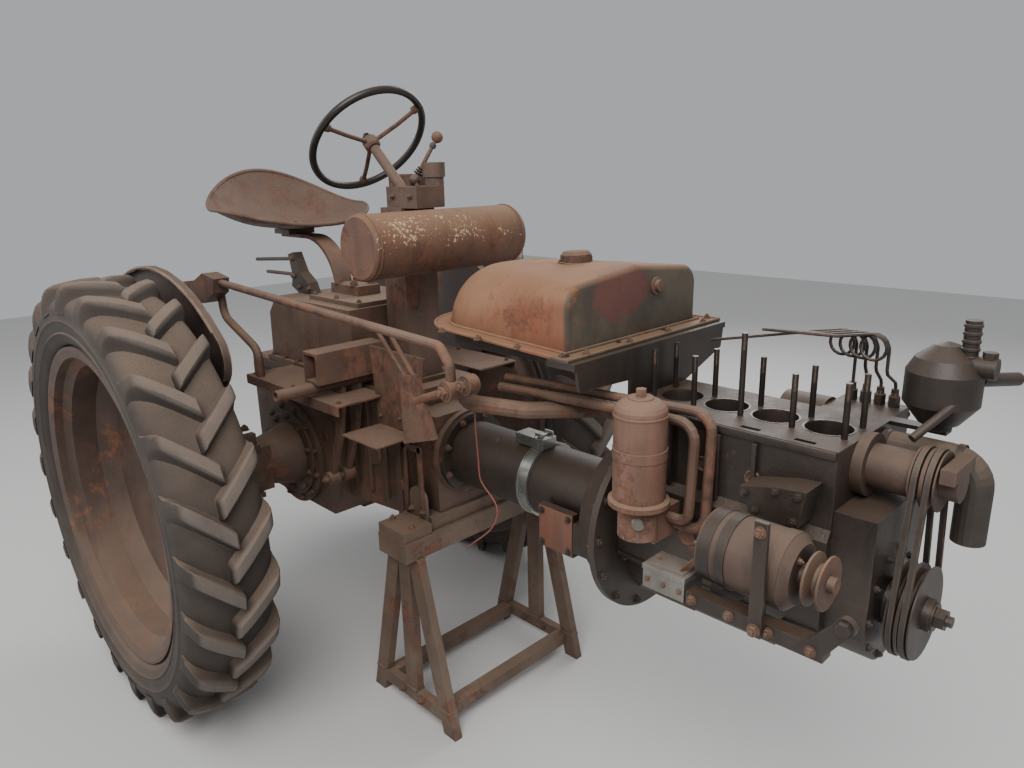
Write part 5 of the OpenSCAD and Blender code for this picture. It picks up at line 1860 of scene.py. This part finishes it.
@dataclass(frozen=True)
class TrestleStand:
    """Weld beads and bolts of the stand."""

    frames: tuple[float, float] = (-0.210, 0.330)
    top: float = 0.5395
    foot: float = 0.081

    def build(self) -> None:
        """Runs the beads along the joints of both frames, and bolts the stand."""
        feet = ((0.655, 0.705), (0.500, 0.545), (0.815, 0.860))
        beads = [(0.610, 0.750, self.top)] + [(start, end, self.foot) for start, end in feet]
        welds, bolts = Form(), Fastenings()
        for y in self.frames:
            for face in (y - 0.0132, y + 0.0132):
                for start, end, z in beads:
                    welds.tube([at(start, face, z), at(end, face, z)], 0.004, 8)
            bolts.row(at(0.635, y - 0.013, 0.060), at(0.725, y - 0.013, 0.060), 2, -LEFT, 0.010)
        welds.show("stand_welds", Finishes.stand_steel, "stand_wood", angle=60.0)
        bolts.row(at(0.655, -0.160, 0.655), at(0.705, -0.160, 0.655), 2, -LEFT, 0.009)
        bolts.row(at(0.635, -0.220, 0.632), at(0.725, -0.220, 0.632), 2, UP, 0.009)
        bolts.make("stand_bolts", Finishes.rusty_steel, "rusty_steel")


@dataclass(frozen=True)
class FenderTrim:
    """The rolled edge of each fender plate."""

    middle: Point = (-0.100, 0.0, 0.710)
    radius: float = 0.632
    plane: float = 0.5405
    steps: int = 60

    def build(self) -> None:
        """Runs a rolled edge along both fenders."""
        form = Form()
        for side in (-1, 1):
            centre = at(*self.middle) + LEFT * side * self.plane
            angles = [math.radians(50.0 + 100.0 * i / self.steps) for i in range(self.steps + 1)]
            path = [centre + self.radius * (math.cos(a) * AHEAD + math.sin(a) * UP) for a in angles]
            form.tube(path, 0.0048, 10)
        form.show("fender_edges", Finishes.edge_pale, "fender_paint", angle=60.0)


# The studio


@dataclass(frozen=True)
class Studio:
    """The floor, the soft lights and the camera of the photograph's viewing angle."""

    eye: Point = (1.667, -1.401, 1.616)
    ahead: Point = (-0.6887, 0.6720, -0.2723)
    right: Point = (0.7027, 0.7112, -0.0220)
    down: Point = (0.1789, -0.2065, -0.9620)
    lens: float = 27.05
    sensor: float = 36.0
    floor_half: float = 9.0

    def set_camera(self) -> None:
        """Puts the camera where the photograph was taken from."""
        data = bpy.data.cameras.new("photo camera")
        data.lens = self.lens
        data.sensor_width = self.sensor
        camera = bpy.data.objects.new("photo_camera", data)
        across, up = Vector(self.right), -Vector(self.down)
        turn = Matrix((across, up, -Vector(self.ahead))).transposed().to_4x4()
        camera.matrix_world = Matrix.Translation(self.eye) @ turn
        bpy.context.scene.collection.objects.link(camera)
        bpy.context.scene.camera = camera

    def set_lights(self) -> None:
        """Hangs three large soft lights and a pale surrounding."""
        for name, place, size, power in (
            ("key", (2.2, -2.6, 4.2), 3.4, 210.0),
            ("fill", (-3.6, -3.4, 2.8), 3.6, 70.0),
            ("back", (-1.2, 3.8, 3.6), 3.2, 110.0),
        ):
            data = bpy.data.lights.new(name, "AREA")
            data.shape = "DISK"
            data.size = size
            data.energy = power
            lamp = bpy.data.objects.new(name, data)
            lamp.location = place
            aim = Vector((0.1, 0.0, 0.8)) - Vector(place)
            lamp.rotation_euler = aim.to_track_quat("-Z", "Y").to_euler()
            bpy.context.scene.collection.objects.link(lamp)
        world = bpy.data.worlds.new("pale room")
        world.use_nodes = True
        background = world.node_tree.nodes["Background"]
        background.inputs["Color"].default_value = (0.80, 0.82, 0.86, 1.0)
        background.inputs["Strength"].default_value = 0.55
        bpy.context.scene.world = world

    def lay_floor(self) -> None:
        """Lays the pale floor."""
        mesh = bpy.data.meshes.new("floor")
        half = self.floor_half
        corners = [(-half, -half, 0), (half, -half, 0), (half, half, 0), (-half, half, 0)]
        mesh.from_pydata(corners, [], [(0, 1, 2, 3)])
        floor = bpy.data.objects.new("floor", mesh)
        made = bpy.data.materials.new("pale floor")
        made.use_nodes = True
        surface = made.node_tree.nodes["Principled BSDF"]
        surface.inputs["Base Color"].default_value = (0.62, 0.61, 0.59, 1.0)
        surface.inputs["Roughness"].default_value = 0.7
        mesh.materials.append(made)
        bpy.context.scene.collection.objects.link(floor)


def dress_nodes() -> None:
    """Gives its finish to every CAD node that no piece stands for."""
    for finish, names in FINISHED_NODES:
        for name in names.split():
            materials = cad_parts[name].data.materials
            materials.clear()
            materials.append(finish.material())


def main() -> None:
    """Builds the studio, then each sub-assembly in turn."""
    logging.basicConfig(level=logging.INFO, format="%(message)s")
    studio = Studio()
    studio.set_camera()
    studio.set_lights()
    studio.lay_floor()
    dress_nodes()
    LooseWire().build()
    for hand, body, node in ((-1, Body.RIGHT_WHEEL, "tyre_right"), (1, Body.LEFT_WHEEL, "tyre_left")):
        Tyre(node, body, hand).build()
        WheelTrim(body, hand).build()
    for assembly in (
        SeatPan(), SteeringWheel(), FuelTank(), AirReservoir(), OpenEngine(), ChargingSet(), EnginePipes(),
        RunningGear(), TrestleStand(), FenderTrim(),
    ):
        assembly.build()


if __name__ == "__main__":
    main()
